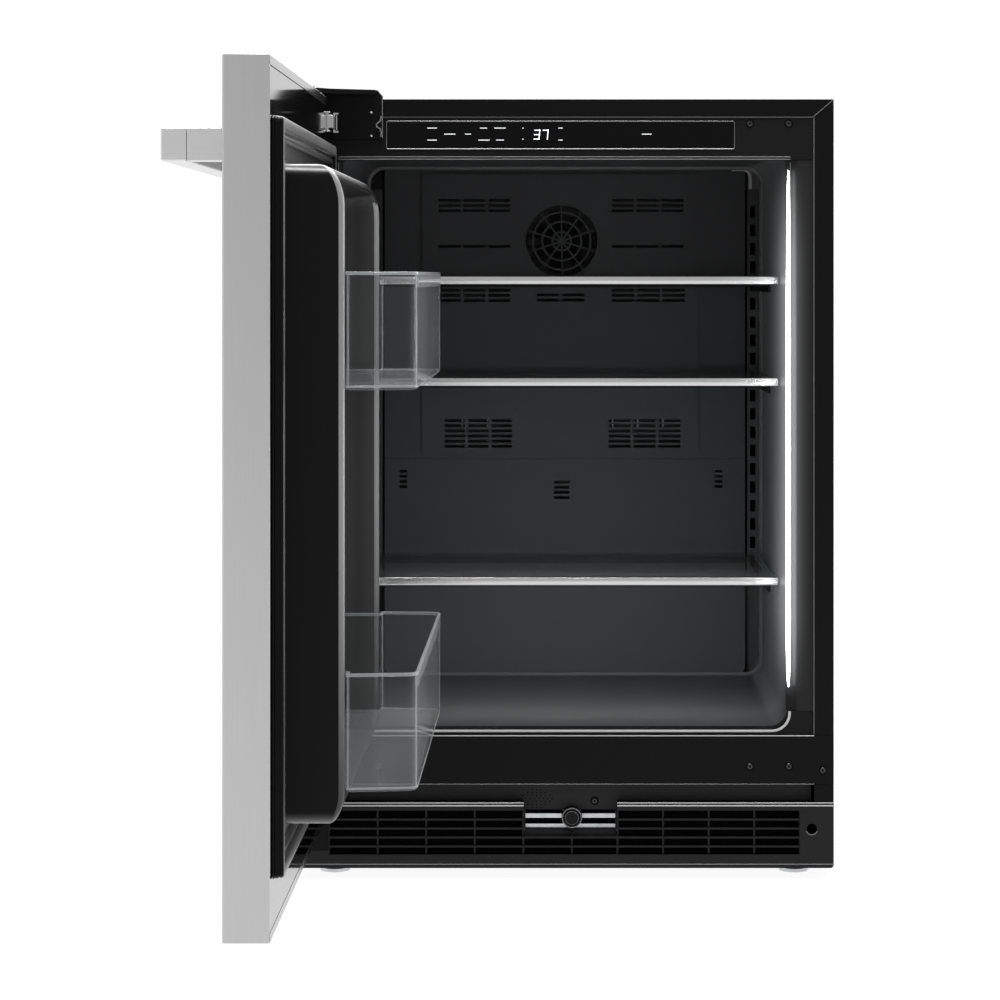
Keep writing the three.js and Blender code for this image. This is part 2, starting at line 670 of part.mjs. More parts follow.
const legProfile = [
  [0, -12],
  [17, -12],
  [17, -8],
  [11, -4],
  [STUD_R, -4],
  [STUD_R, 58],
  [0, 58],
];
for (const [side, x] of Object.entries({ left: -LEG_X, right: LEG_X }))
  for (const [end, y] of Object.entries(LEG_YS))
    piece(
      `levelling_leg_${end}_${side}`,
      new THREE.LatheGeometry(
        legProfile.map(([r, h]) => new THREE.Vector2(r, h)),
        ROUND,
      )
        .rotateX(Math.PI / 2)
        .translate(x, y, 0),
      machine_black,
    );

// ---------------------------------------------------------------- hinges

const PIN_R = 4;
const hingeArm = () =>
  polygon([
    [-300, FRONT - 0.5],
    [-300, FRONT - 36],
    [-294, FRONT - 44],
    [-272, FRONT - 44],
    [-262, FRONT - 30],
    [-212, FRONT - 9],
    [-212, FRONT - 0.5],
  ]);
piece(
  "top_hinge_bracket",
  cut(
    join(
      frontPlate(
        polygon([
          [-274, 820],
          [-204, 820],
          [-204, 868],
          [-210, 875],
          [-274, 875],
        ]),
        FRONT - 3.5,
        FRONT - 0.5,
      ),
      floorPlate(hingeArm(), 869.5, 875),
    ),
    rod("z", HINGE_X, HINGE_Y, 868, 876, PIN_R + RUNNING),
  ),
  black_paint,
);
piece(
  "top_hinge_pin",
  join(rod("z", HINGE_X, HINGE_Y, 842, 876, PIN_R), rod("z", HINGE_X, HINGE_Y, 875.3, 878, 7)),
  silver_trim,
);
piece(
  "bottom_hinge_bracket",
  cut(
    join(
      box(-300, -266, FRONT - 3.5, FRONT - 0.5, 20, 61),
      floorPlate(
        polygon([
          [-300, FRONT - 0.5],
          [-300, FRONT - 36],
          [-294, FRONT - 44],
          [-272, FRONT - 44],
          [-266, FRONT - 30],
          [-266, FRONT - 0.5],
        ]),
        55,
        61,
      ),
    ),
    rod("z", HINGE_X, HINGE_Y, 54, 62, PIN_R + RUNNING),
  ),
  black_paint,
);
piece(
  "bottom_hinge_pin",
  join(rod("z", HINGE_X, HINGE_Y, 54, 88, PIN_R), rod("z", HINGE_X, HINGE_Y, 51, 54.7, 7)),
  silver_trim,
);

// ---------------------------------------------------------------- door, drawn closed and turned about its pins

const doorTurn = new THREE.Group();
doorTurn.position.set(HINGE_X, HINGE_Y, 0);
doorTurn.rotation.z = DOOR_OPEN;
cabinet.add(doorTurn);
const door = new THREE.Group();
door.position.set(-HINGE_X, -HINGE_Y, 0);
doorTurn.add(door);

const SKIN = 1.2;
function doorSkin() {
  const outer = floorPlate(rounded(-HALF, HALF, DOOR_FACE, DOOR_INNER, [3, 3, 1.5, 1.5]), DOOR_BOTTOM, DOOR_TOP, 4);
  return cut(
    outer,
    box(-HALF + SKIN, HALF - SKIN, DOOR_FACE + SKIN, DOOR_INNER - SKIN, DOOR_BOTTOM + SKIN, DOOR_TOP - SKIN),
    box(-266, 266, DOOR_INNER - 3, DOOR_INNER + 1, DOOR_BOTTOM + 66, DOOR_TOP - 66),
    rod("z", HINGE_X, HINGE_Y, DOOR_BOTTOM - 1, DOOR_BOTTOM + 3, PIN_R + RUNNING),
    rod("z", HINGE_X, HINGE_Y, DOOR_TOP - 3, DOOR_TOP + 1, PIN_R + RUNNING),
  );
}
piece("door_skin", doorSkin(), stainless, door);

const foamIn = SKIN + GAP;
piece(
  "door_foam",
  box(-262, HALF - foamIn, DOOR_FACE + foamIn, DOOR_INNER - foamIn, DOOR_BOTTOM + foamIn, DOOR_TOP - foamIn),
  foam,
  door,
);

const SEAL = { x0: -283, x1: 289, z0: 118, z1: 812, width: 22, back: DOOR_INNER + 3.1, face: FRONT - 0.7 };
const DYKE = { x: 240, wall: 14, z0: 157, z1: 770 };
function doorLiner() {
  const plate = frontPlate(rounded(SEAL.x0, SEAL.x1, SEAL.z0, SEAL.z1, 6), DOOR_INNER + GAP, SEAL.back - GAP, 3);
  const rim = rounded(-DYKE.x, DYKE.x, DYKE.z0, DYKE.z1, 16);
  rim.holes.push(
    rounded(-DYKE.x + DYKE.wall, DYKE.x - DYKE.wall, DYKE.z0 + DYKE.wall, DYKE.z1 - DYKE.wall, 8),
  );
  const profile = rounded(DOOR_INNER + 1, DYKE_CREST, DYKE.z0 - 1, DYKE.z1 + 1, [0, 9, 26, 0]);
  const dyke = common(
    frontPlate(rim, DOOR_INNER + 1, DYKE_CREST + 1, 5),
    sidePlate(profile, -DYKE.x - 1, DYKE.x + 1, 6),
  );
  const lugs = Object.values(BIN_BOTTOMS).flatMap((z) =>
    [-1, 1].map((side) => {
      const [a, b] = [side * (DYKE.x - DYKE.wall - 12), side * (DYKE.x - DYKE.wall + 2)];
      return box(Math.min(a, b), Math.max(a, b), FRONT + 4, FRONT + 44, z - 10, z - 0.4);
    }),
  );
  return join(plate, dyke, ...lugs);
}
piece("door_liner", doorLiner(), liner_plastic, door);

const seal = rounded(SEAL.x0, SEAL.x1, SEAL.z0, SEAL.z1, 6);
seal.holes.push(
  rounded(SEAL.x0 + SEAL.width, SEAL.x1 - SEAL.width, SEAL.z0 + SEAL.width, SEAL.z1 - SEAL.width, 4),
);
piece("door_gasket", frontPlate(seal, SEAL.back, SEAL.face, 3), rubber, door);

// Stop block next to the upper hinge pin: a nose on a base plate. It stays within 28 mm of the hinge line.
piece(
  "door_stop_block",
  join(
    box(-294, -283, DOOR_INNER + GAP, DOOR_INNER + 7.4, 831, 845.5),
    box(-294, -283, DOOR_INNER + GAP, DOOR_INNER + 2.5, 827, 849.5),
  ),
  silver_trim,
  door,
);

const barFace = DOOR_FACE - HANDLE_STANDOFF;
const handleTop = HANDLE_BOTTOM + HANDLE_HEIGHT;
piece(
  "handle_bar",
  box(-HANDLE_LENGTH / 2, HANDLE_LENGTH / 2, barFace, barFace + HANDLE_BAR, HANDLE_BOTTOM, handleTop),
  stainless,
  door,
);
for (const [end, x] of Object.entries({ hinge_side: -HANDLE_LENGTH / 2, latch_side: HANDLE_LENGTH / 2 - 24 }))
  piece(
    "handle_post_" + end,
    box(x, x + 24, barFace + HANDLE_BAR + GAP, DOOR_FACE - GAP, HANDLE_BOTTOM, handleTop),
    stainless,
    door,
  );

// Bin: a clear trough whose front part spreads over the liner's raised rim.
function binOutline(inset) {
  const s = inset;
  return polygon([
    [-224 + s, FRONT + 2 + s],
    [224 - s, FRONT + 2 + s],
    [224 - s, DYKE_CREST + 1 + s],
    [240 - s, DYKE_CREST + 1 + s],
    [233 - s, BIN_FRONT - 12],
    [222 - s, BIN_FRONT - s],
    [-222 + s, BIN_FRONT - s],
    [-233 + s, BIN_FRONT - 12],
    [-240 + s, DYKE_CREST + 1 + s],
    [-224 + s, DYKE_CREST + 1 + s],
  ]);
}
for (const [name, z] of Object.entries(BIN_BOTTOMS))
  piece(
    name,
    cut(floorPlate(binOutline(0), z, z + BIN_HEIGHT), floorPlate(binOutline(3), z + 3, z + BIN_HEIGHT + 1)),
    clear_bin,
    door,
  );

export default cabinet;
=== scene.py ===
"""Undercounter refrigerator with its door open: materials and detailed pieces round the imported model.

Sizes are millimetres in the shared frame. Door pieces are drawn with the door closed and turned to rest.
"""
import json
import math

import bmesh
import bpy
from mathutils import Matrix, Vector


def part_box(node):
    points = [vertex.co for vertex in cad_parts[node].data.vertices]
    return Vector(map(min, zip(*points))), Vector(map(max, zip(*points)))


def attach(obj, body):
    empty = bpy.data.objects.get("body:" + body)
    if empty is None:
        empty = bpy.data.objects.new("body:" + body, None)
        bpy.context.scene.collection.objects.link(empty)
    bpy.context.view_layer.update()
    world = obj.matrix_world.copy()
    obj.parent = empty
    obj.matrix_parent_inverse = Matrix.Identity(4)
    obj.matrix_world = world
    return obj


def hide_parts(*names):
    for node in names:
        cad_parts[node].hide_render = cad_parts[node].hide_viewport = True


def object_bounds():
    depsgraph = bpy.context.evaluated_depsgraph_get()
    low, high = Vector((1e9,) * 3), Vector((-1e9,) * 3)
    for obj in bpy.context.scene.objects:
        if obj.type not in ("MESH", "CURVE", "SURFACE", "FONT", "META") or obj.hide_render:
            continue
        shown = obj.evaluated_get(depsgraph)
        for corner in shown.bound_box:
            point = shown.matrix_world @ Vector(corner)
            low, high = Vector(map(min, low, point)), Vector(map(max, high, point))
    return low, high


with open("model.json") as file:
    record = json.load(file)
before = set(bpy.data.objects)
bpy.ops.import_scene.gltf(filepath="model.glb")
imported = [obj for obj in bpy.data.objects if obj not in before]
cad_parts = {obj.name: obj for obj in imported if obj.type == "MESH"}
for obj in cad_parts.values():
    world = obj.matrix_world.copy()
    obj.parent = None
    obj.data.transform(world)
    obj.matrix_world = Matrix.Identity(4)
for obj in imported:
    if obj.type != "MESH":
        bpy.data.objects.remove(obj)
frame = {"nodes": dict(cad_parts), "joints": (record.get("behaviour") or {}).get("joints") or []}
cad_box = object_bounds()

MM = 0.001
PLACES = {joint["name"]: joint for joint in frame["joints"]}


def span(node):
    """x0, x1, y0, y1, z0, z1 of a CAD node, in millimetres."""
    low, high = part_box(node)
    return [value / MM for pair in zip(low, high) for value in pair]


def add_object(name, data):
    made = bpy.data.objects.new(name, data)
    bpy.context.scene.collection.objects.link(made)
    return made


X0, X1, FRONT, BACK, BASE, TOP = span("cabinet_wrapper")

# ------------ camera

EYE_X = 4
EYE_Z = 665
EYE_DISTANCE = 3100
LENS = 99.2
SENSOR = 36
SHIFT = (-0.068, -0.223)


def make_camera():
    data = bpy.data.cameras.new("camera")
    data.lens = LENS
    data.sensor_width = SENSOR
    data.shift_x, data.shift_y = SHIFT
    data.clip_start = 0.05
    data.clip_end = 60
    camera = add_object("camera", data)
    camera.location = (EYE_X * MM, (FRONT - EYE_DISTANCE) * MM, EYE_Z * MM)
    camera.rotation_euler = (math.pi / 2, 0, 0)
    bpy.context.scene.camera = camera


# ------------ node materials

NOISE_RANGE = (0.3, 0.7)
LAMP_COLOR = (0.96, 0.98, 1.0)
# heights where the glow beside the light strips starts and ends, each with its fade and direction
LAMP_ENDS = ((190, 90, 1), (792, 110, -1))
LEFT_GLOW = 0.15


class Shader:
    """A material with one Principled shader and helpers for the nodes that feed it."""

    def __init__(self, name, slot, color, roughness, metallic=0.0, **sockets):
        self.material = bpy.data.materials.new(name)
        self.material.use_nodes = True
        self.tree = self.material.node_tree
        self.bsdf = next(n for n in self.tree.nodes if n.type == "BSDF_PRINCIPLED")
        sockets.update(Base_Color=(*color, 1), Roughness=roughness, Metallic=metallic)
        for socket, value in sockets.items():
            self.bsdf.inputs[socket.replace("_", " ")].default_value = value
        self.slot = slot

    def node(self, kind, inputs=(), **settings):
        """Node with the values of some of its sockets, given as (name, value) pairs."""
        made = self.tree.nodes.new(kind)
        for key, value in settings.items():
            setattr(made, key, value)
        for socket, value in inputs:
            made.inputs[socket].default_value = value
        return made

    def link(self, source, target):
        self.tree.links.new(source, target)

    def place(self):
        """Object coordinates as sockets X, Y and Z."""
        place = self.node("ShaderNodeTexCoord")
        split = self.node("ShaderNodeSeparateXYZ")
        self.link(place.outputs["Object"], split.inputs["Vector"])
        return split.outputs

    def facing(self, blend):
        """0 face on and 1 at a glancing angle."""
        return self.node("ShaderNodeLayerWeight", [("Blend", blend)]).outputs["Facing"]

    def noise(self, size, stretch=(1, 1, 1), detail=2.0, rough=0.5):
        """Object-space noise with features of a size in millimetres, stretched along the axes."""
        place = self.node("ShaderNodeTexCoord")
        mapping = self.node("ShaderNodeMapping", [("Scale", [1 / (size * MM * s) for s in stretch])])
        noise = self.node("ShaderNodeTexNoise", [("Scale", 1.0), ("Detail", detail), ("Roughness", rough)])
        self.link(place.outputs["Object"], mapping.inputs["Vector"])
        self.link(mapping.outputs["Vector"], noise.inputs["Vector"])
        return noise.outputs["Fac"]

    def spread(self, value, low, high, start=NOISE_RANGE[0], end=NOISE_RANGE[1]):
        """value, from start to end, spread over low to high."""
        ends = [("From Min", start), ("From Max", end), ("To Min", low), ("To Max", high)]
        made = self.node("ShaderNodeMapRange", ends)
        self.link(value, made.inputs["Value"])
        return made.outputs["Result"]

    def rough(self, value, low, high):
        self.link(self.spread(value, low, high), self.bsdf.inputs["Roughness"])
        return self

    def glancing(self, low, high, start=0.3, end=0.85):
        """Reflects little face on and more at a glancing angle."""
        level = self.spread(self.facing(0.5), low, high, start, end)
        self.link(level, self.bsdf.inputs["Specular IOR Level"])
        return self

    def math(self, operation, first, second):
        made = self.node("ShaderNodeMath", operation=operation)
        for socket, value in zip(made.inputs, (first, second)):
            if isinstance(value, (int, float)):
                socket.default_value = value
            else:
                self.link(value, socket)
        return made.outputs[0]

    def lamp_glow(self, axis, centre, reach, strength, base=0.0, beyond=0):
        """Soft light beside the light strips, fading over a reach in millimetres along one axis.

        Nothing within beyond of the middle glows, and the left side, behind the door, is dimmer.
        """
        place = self.place()
        value = self.math("ABSOLUTE", place["X"], 0) if axis == "x" else place[axis.upper()]
        distance = self.math("ABSOLUTE", self.math("SUBTRACT", value, centre * MM), 0)
        part = self.math("MINIMUM", self.math("DIVIDE", distance, reach * MM), 1.0)
        level = self.math("POWER", self.math("SUBTRACT", 1.0, part), 3.0)
        level = self.math("MULTIPLY", level, strength)
        for edge, width, sign in LAMP_ENDS:
            rise = self.math("SUBTRACT", place["Z"], edge * MM)
            rise = self.math("DIVIDE", rise, sign * width * MM)
            fade = self.math("MINIMUM", self.math("MAXIMUM", rise, 0.0), 1.0)
            level = self.math("MULTIPLY", level, fade)
        right = self.math("GREATER_THAN", place["X"], beyond * MM)
        left = self.math("LESS_THAN", place["X"], -beyond * MM)
        sides = self.math("ADD", right, self.math("MULTIPLY", left, LEFT_GLOW))
        level = self.math("MULTIPLY", self.math("ADD", level, base), sides)
        self.bsdf.inputs["Emission Color"].default_value = (*LAMP_COLOR, 1)
        self.link(level, self.bsdf.inputs["Emission Strength"])
        return self

    def tint(self, value, dark, light):
        """Base colour between two colours, along a value from 0.3 to 0.7."""
        ramp = self.node("ShaderNodeValToRGB")
        for element, position, color in zip(ramp.color_ramp.elements, NOISE_RANGE, (dark, light)):
            element.position = position
            element.color = (*color, 1)
        self.link(value, ramp.inputs["Fac"])
        self.link(ramp.outputs["Color"], self.bsdf.inputs["Base Color"])
        return self

    def ribs(self, pitch, height):
        """Pressed horizontal ribs at a pitch in millimetres."""
        flat = 0.96
        turn = self.math("MULTIPLY", self.place()["Z"], math.tau / (pitch * MM))
        wave = self.math("COSINE", turn, 0)
        ridge = self.math("MAXIMUM", self.math("SUBTRACT", wave, flat), 0.0)
        return self.bump(self.math("MULTIPLY", ridge, 1 / (1 - flat)), height)

    def fade_down(self, low, high, dark, light):
        """Darker towards the bottom, between two heights in millimetres."""
        level = self.spread(self.place()["Z"], *NOISE_RANGE, low * MM, high * MM)
        return self.tint(level, dark, light)

    def bump(self, value, height, strength=1.0):
        """Height in millimetres."""
        made = self.node("ShaderNodeBump", [("Strength", strength), ("Distance", height * MM)])
        self.link(value, made.inputs["Height"])
        self.link(made.outputs["Normal"], self.bsdf.inputs["Normal"])
        return self


# how much longer than wide the grain of brushed metal is
GRAIN = 160


def grey(value):
    return (value, value, value)


def brushed(name, slot, along, color, low, high):
    """Brushed metal with its grain along one axis."""
    stretch = [1, 1, 1]
    stretch["xyz".index(along)] = GRAIN
    made = Shader(name, slot, grey(color), low, 1.0)
    lines = made.noise(0.45, stretch, 2.0)
    made.rough(lines, low, high)
    made.tint(made.noise(0.7, stretch, 2.0), grey(color * 0.975), grey(min(1, color * 1.02)))
    return made.bump(lines, 0.004, 0.4)


def grained(name, slot, color, roughness, size, height, spread=0.06, **sockets):
    """Moulded or painted surface with a fine grain."""
    made = Shader(name, slot, color, roughness, **sockets)
    made.rough(made.noise(size * 9, detail=3.0), roughness - spread, roughness + spread)
    return made.bump(made.noise(size, detail=1.0), height)


MATT = {"Specular_IOR_Level": 0.08}
SATIN = {"Specular_IOR_Level": 0.2}
ACRYLIC_IOR = 1.49

paint = grained("paint", "cabinet_paint", grey(0.004), 0.33, 0.9, 0.008, 0.015, **MATT)
plastic = grained("plastic", "black_plastic", grey(0.0085), 0.4, 0.6, 0.012, **MATT)
# breaker strips a shade lighter than the other black plastic: painted light from the light strips beside
# them, besides the glow
breaker_lit_plastic = grained("breaker_lit_plastic", "black_plastic", grey(0.012), 0.34, 0.6, 0.012, **MATT)
breaker_lit_plastic.lamp_glow("x", 253, 30, 0.24, 0.006)
# lighter than the other black plastic: painted light on the toe panel and notch ledge, which sit in shade
toe_lit_plastic = grained("toe_lit_plastic", "black_plastic", grey(0.024), 0.4, 0.6, 0.012, **MATT)
grille_plastic = grained("grille_plastic", "black_plastic", grey(0.006), 0.34, 0.6, 0.01, **SATIN)
# lighter grey for beads along edges: painted highlights; also the knob's rings and the hinge link
edge_highlight_plastic = grained("edge_highlight_plastic", "black_plastic", grey(0.17), 0.36, 0.6, 0.005)
# a shade lighter than the liner: painted highlight along the step
step_highlight_plastic = grained("step_highlight_plastic", "liner_plastic", grey(0.055), 0.36, 2.0, 0.005)
# light grey: painted highlight on the end of the right-hand ladder channel
cap_highlight_plastic = grained("cap_highlight_plastic", "liner_plastic", grey(0.3), 0.36, 2.0, 0.005)
# light grey: painted highlights on the liner's front lip and the brightest front edges
lip_highlight_plastic = grained("lip_highlight_plastic", "liner_plastic", grey(0.5), 0.36, 2.0, 0.005)
# near-black for the seams and washers, and as painted shade behind the grille, behind the ladder slots and
# in the toe panel's holes
black_and_painted_shade = grained("black_and_painted_shade", "black_plastic", grey(0.002), 0.7, 1.2, 0.3, **MATT)
liner = grained("liner", "liner_plastic", (0.05, 0.051, 0.054), 0.34, 14.0, 0.006, 0.03)
liner.glancing(0.12, 0.7)
liner.lamp_glow("y", -280, 400, 0.33, 0.012, 238)
door_liner_plastic = grained("door_liner_plastic", "liner_plastic", grey(0.007), 0.33, 14.0, 0.008, 0.02)
door_liner_plastic.glancing(0.06, 1.0, 0.1, 0.55)
# light grey on the liner's rounded rim: painted highlight, darker towards the bottom as painted shade
rim_highlight_plastic = grained("rim_highlight_plastic", "liner_plastic", grey(0.25), 0.33, 14.0, 0.008, 0.02)
rim_highlight_plastic.fade_down(170, 420, grey(0.02), grey(0.26))
# a shade lighter than the door liner: painted light on the walls inside the rim
dyke_lit_plastic = grained("dyke_lit_plastic", "liner_plastic", grey(0.02), 0.33, 14.0, 0.008, 0.02)
wall_plastic = grained("wall_plastic", "liner_plastic", (0.045, 0.046, 0.048), 0.45, 0.8, 0.012, **MATT)
gloss = Shader("gloss", "panel_gloss", grey(0.002), 0.06, Specular_IOR_Level=0.1)
gloss.rough(gloss.noise(60, detail=3.0), 0.04, 0.09)
trim = brushed("trim", "silver_trim", "x", 0.2, 0.14, 0.2)
bright = brushed("bright", "silver_trim", "z", 0.72, 0.1, 0.16)
steel = brushed("steel", "stainless", "z", 0.5, 0.3, 0.36)
steel.bsdf.inputs["Metallic"].default_value = 0.75
steel_across = brushed("steel_across", "stainless", "x", 0.7, 0.3, 0.36)
steel_inner = brushed("steel_inner", "stainless", "z", 0.62, 0.06, 0.09)
steel_inner.bsdf.inputs["Specular Tint"].default_value = (0.68, 0.68, 0.68, 1)
steel_strip = brushed("steel_strip", "stainless", "z", 0.27, 0.16, 0.22)
shelf_metal = brushed("shelf_metal", "shelf_metal", "x", 0.6, 0.2, 0.26)
zinc = Shader("zinc", "zinc", grey(0.6), 0.3, 1.0)
zinc.tint(zinc.noise(26, detail=4.0), (0.5, 0.51, 0.53), (0.68, 0.69, 0.7))
zinc.rough(zinc.noise(14, detail=4.0), 0.3, 0.44)
rear_steel = Shader("rear_steel", "zinc", grey(0.2), 0.5, 1.0)
rear_steel.tint(rear_steel.noise(9, detail=5.0, rough=0.7), (0.2, 0.205, 0.21), (0.33, 0.335, 0.34))
rear_steel.rough(rear_steel.noise(7, detail=4.0), 0.46, 0.62)
rear_steel.ribs(155, 1.2)
screw_metal = Shader("screw_metal", "machine_black", grey(0.06), 0.3, 1.0)
screw_metal.rough(screw_metal.noise(3, detail=3.0), 0.22, 0.36)
fins = brushed("fins", "fin_aluminium", "z", 0.5, 0.3, 0.42)
copper = Shader("copper", "copper", (0.78, 0.36, 0.22), 0.25, 1.0)
copper.tint(copper.noise(20, detail=4.0), (0.62, 0.26, 0.15), (0.85, 0.42, 0.27))
machine = grained("machine", "machine_black", grey(0.008), 0.36, 1.5, 0.04, **SATIN)
board = grained("board", "board", (0.02, 0.12, 0.05), 0.4, 1.2, 0.02)
gasket = grained("gasket", "rubber", grey(0.005), 0.34, 0.7, 0.02, Sheen_Weight=0.12, Sheen_Roughness=0.4)
gasket.glancing(0.04, 0.9)
foam_fill = grained("foam_fill", "foam", (0.7, 0.6, 0.38), 0.85, 2.5, 0.4)


def make_clear(name, slot, color, face_alpha, edge_alpha, roughness):
    """Clear moulding: see-through face on, and fuller towards its edges."""
    made = Shader(name, slot, color, roughness, IOR=ACRYLIC_IOR)
    alpha = made.spread(made.facing(0.3), face_alpha, edge_alpha, 0.0, 1.0)
    made.link(alpha, made.bsdf.inputs["Alpha"])
    return made.rough(made.noise(60, detail=2.0), roughness - 0.02, roughness + 0.04)


glass = make_clear("glass", "shelf_glass", (0.16, 0.19, 0.18), 0.06, 0.5, 0.05)
glass_edge = make_clear("glass_edge", "shelf_glass", (0.2, 0.42, 0.36), 0.7, 0.9, 0.1)
clear = make_clear("clear", "clear_bin", (0.34, 0.355, 0.36), 0.022, 0.42, 0.06)
# whitish, fuller rims and rail of the bins: painted highlights along their edges
clear_edge_highlight = make_clear("clear_edge_highlight", "clear_bin", (0.5, 0.52, 0.53), 0.32, 0.8, 0.1)


def make_glow(name, slot, color, strength):
    made = Shader(name, slot, color, 0.4, Emission_Color=(*color, 1), Emission_Strength=strength)
    return made.rough(made.noise(4, detail=2.0), 0.3, 0.5)


glow = make_glow("glow", "light_lens", LAMP_COLOR, 26.0)
digits = make_glow("digits", "light_lens", (0.95, 0.97, 1.0), 1.0)
marks = make_glow("marks", "light_lens", (0.8, 0.82, 0.84), 0.32)

# ------------ mesh helpers

# edges below these angles in degrees aren't bevelled, and look smooth
FLAT = 35
SMOOTH = 32
# vertices nearer than this are joined
MERGE = 0.02

HINGE = Vector([value / MM for value in PLACES["door_hinge"]["pos_m"]])
DOOR_TO_REST = (
    Matrix.Translation((HINGE.x, HINGE.y, 0))
    @ Matrix.Rotation(-math.pi / 2, 4, "Z")
    @ Matrix.Translation((-HINGE.x, -HINGE.y, 0))
)


def piece(name, bm, shader, stands_for=(), body="cabinet", bevel=0.0, segments=2, angle=SMOOTH, place=None):
    """Turns a bmesh in millimetres into a piece that rides on a body."""
    if place:
        bm.transform(place)
    bm.transform(Matrix.Scale(MM, 4))
    bmesh.ops.recalc_face_normals(bm, faces=bm.faces)
    mesh = bpy.data.meshes.new(name)
    bm.to_mesh(mesh)
    bm.free()
    mesh.materials.append(shader.material)
    mesh.shade_smooth()
    mesh.set_sharp_from_angle(angle=math.radians(angle))
    made = add_object(name, mesh)
    if bevel:
        soften(made, bevel, segments)
    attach(made, body)
    if stands_for:
        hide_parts(*stands_for)
    return made


def soften(made, width, segments=2, harden=True):
    """Bevels the edges of an object by a width in millimetres."""
    modifier = made.modifiers.new("bevel", "BEVEL")
    modifier.width = width * MM
    modifier.segments = segments
    modifier.limit_method = "ANGLE"
    modifier.angle_limit = math.radians(FLAT)
    modifier.harden_normals = harden


def finish_node(node, shader, bevel=0.0):
    """A CAD node keeps its shape, with a better material and softened edges."""
    made = frame["nodes"][node]
    made.data.materials.clear()
    made.data.materials.append(shader.material)
    if bevel:
        weld = made.modifiers.new("weld", "WELD")
        weld.merge_threshold = MERGE * MM
        soften(made, bevel, harden=False)
        weighted = made.modifiers.new("weighted", "WEIGHTED_NORMAL")
        weighted.keep_sharp = True
    made.data.shade_smooth()
    made.data.set_sharp_from_angle(angle=math.radians(SMOOTH))


def angles(step, start=0, stop=90):
    """Angles in radians, from start to stop in steps of so many degrees."""
    return [math.radians(turn) for turn in range(start, stop + 1, step)]


def inset(rect, by):
    """Rectangle (u0, u1, v0, v1) made smaller on each side."""
    return (rect[0] + by, rect[1] - by, rect[2] + by, rect[3] - by)


def rectangle(u0, u1, v0, v1, radius, steps):
    """Outline of a rectangle with round corners, anticlockwise."""
    centres = (
        (u1 - radius, v0 + radius, -90),
        (u1 - radius, v1 - radius, 0),
        (u0 + radius, v1 - radius, 90),
        (u0 + radius, v0 + radius, 180),
    )
    points = []
    for u, v, start in centres:
        for step in range(steps + 1):
            turn = math.radians(start + 90 * step / steps)
            points.append((u + radius * math.cos(turn), v + radius * math.sin(turn)))
    return points


def loops(bm, rings, closed=False):
    """Joins rings of equally many points. Either the last joins the first, or both ends are capped."""
    made = [[bm.verts.new(point) for point in ring] for ring in rings]
    pairs = list(zip(made, made[1:]))
    if closed:
        pairs.append((made[-1], made[0]))
    for first, second in pairs:
        for i in range(len(first)):
            j = (i + 1) % len(first)
            bm.faces.new((first[i], first[j], second[j], second[i]))
    if not closed:
        bm.faces.new(made[0])
        bm.faces.new(made[-1])
    return bm


def on_plane(points, plane, depth):
    """2-D points as 3-D ones: plane is xy, xz or yz, and depth is the third value."""
    if plane == "xy":
        return [(u, v, depth) for u, v in points]
    if plane == "xz":
        return [(u, depth, v) for u, v in points]
    return [(depth, u, v) for u, v in points]


def prism(bm, points, plane, low, high):
    """Outline on a plane, drawn out from low to high."""
    return loops(bm, [on_plane(points, plane, low), on_plane(points, plane, high)])


def block(bm, x0, x1, y0, y1, z0, z1):
    return prism(bm, [(x0, y0), (x1, y0), (x1, y1), (x0, y1)], "xy", z0, z1)


def turned(bm, profile, centre, steps=32, closed=False):
    """Turns a profile of (radius, y) pairs about a line along y through centre."""
    rings = []
    for radius, y in profile:
        ring = []
        for step in range(steps):
            turn = 2 * math.pi * step / steps
            spoke = Vector((radius * math.cos(turn), y, radius * math.sin(turn)))
            ring.append(spoke + Vector(centre))
        rings.append(ring)
    return loops(bm, rings, closed)


def frame_sweep(bm, rect, radius, profile, steps):
    """Sweeps a closed profile of (inset, y) round an upright rectangle (x0, x1, z0, z1)."""
    rings = []
    for by, y in profile:
        outline = rectangle(*inset(rect, by), max(0.4, radius - by), steps)
        rings.append(on_plane(outline, "xz", y))
    return loops(bm, rings, closed=True)


def bead(bm, path, radius, y, depth=None):
    """Half-round bead along an open path of (x, z) points, standing out of the plane y towards -y."""
    depth = radius if depth is None else depth
    rings = []
    for i, (x, z) in enumerate(path):
        before = path[max(0, i - 1)]
        after = path[min(len(path) - 1, i + 1)]
        along = Vector((after[0] - before[0], after[1] - before[1])).normalized()
        ring = []
        for step in range(7):
            turn = math.pi * step / 6
            across = radius * math.cos(turn)
            ring.append((x - along.y * across, y - depth * math.sin(turn), z + along.x * across))
        rings.append(ring)
    return loops(bm, rings)


# ------------ stage and light

FLOOR_REACH = 9000
FLOOR_GLOW = 0.93
WHITE_STRENGTH = 1.02
# brightness of the surroundings from the front (0) to the back (1)
SURROUNDINGS = ((0.0, 0.6), (0.45, 0.42), (0.62, 0.5), (1.0, 0.6))
# name, place, target, size and watts
STUDIO_LIGHTS = (
    ("side_panel", (-2600, -1500, 1100), (-300, -700, 450), (1200, 2200), 11),
    ("overhead", (0, -800, 2900), (-200, -500, 700), (1500, 500), 60),
    ("rim_above", (300, 1800, 2300), (-200, -700, 770), (1800, 900), 42),
    ("rim_side", (2800, 1500, 900), (-200, -600, 450), (900, 1800), 44),
)
CAVITY_LIGHTS = (
    ("lower_light", (0, FRONT + 90, 292), (0, FRONT + 330, 160), (420, 120), 0.75),
    ("duct_light", (0, FRONT + 40, 250), (0, FRONT + 600, 330), (420, 60), 0.5),
    ("top_light", (0, FRONT + 40, 800), (0, FRONT + 500, 700), (420, 60), 0.12),
)
CAVITY_TINT = (0.97, 0.985, 1.0)


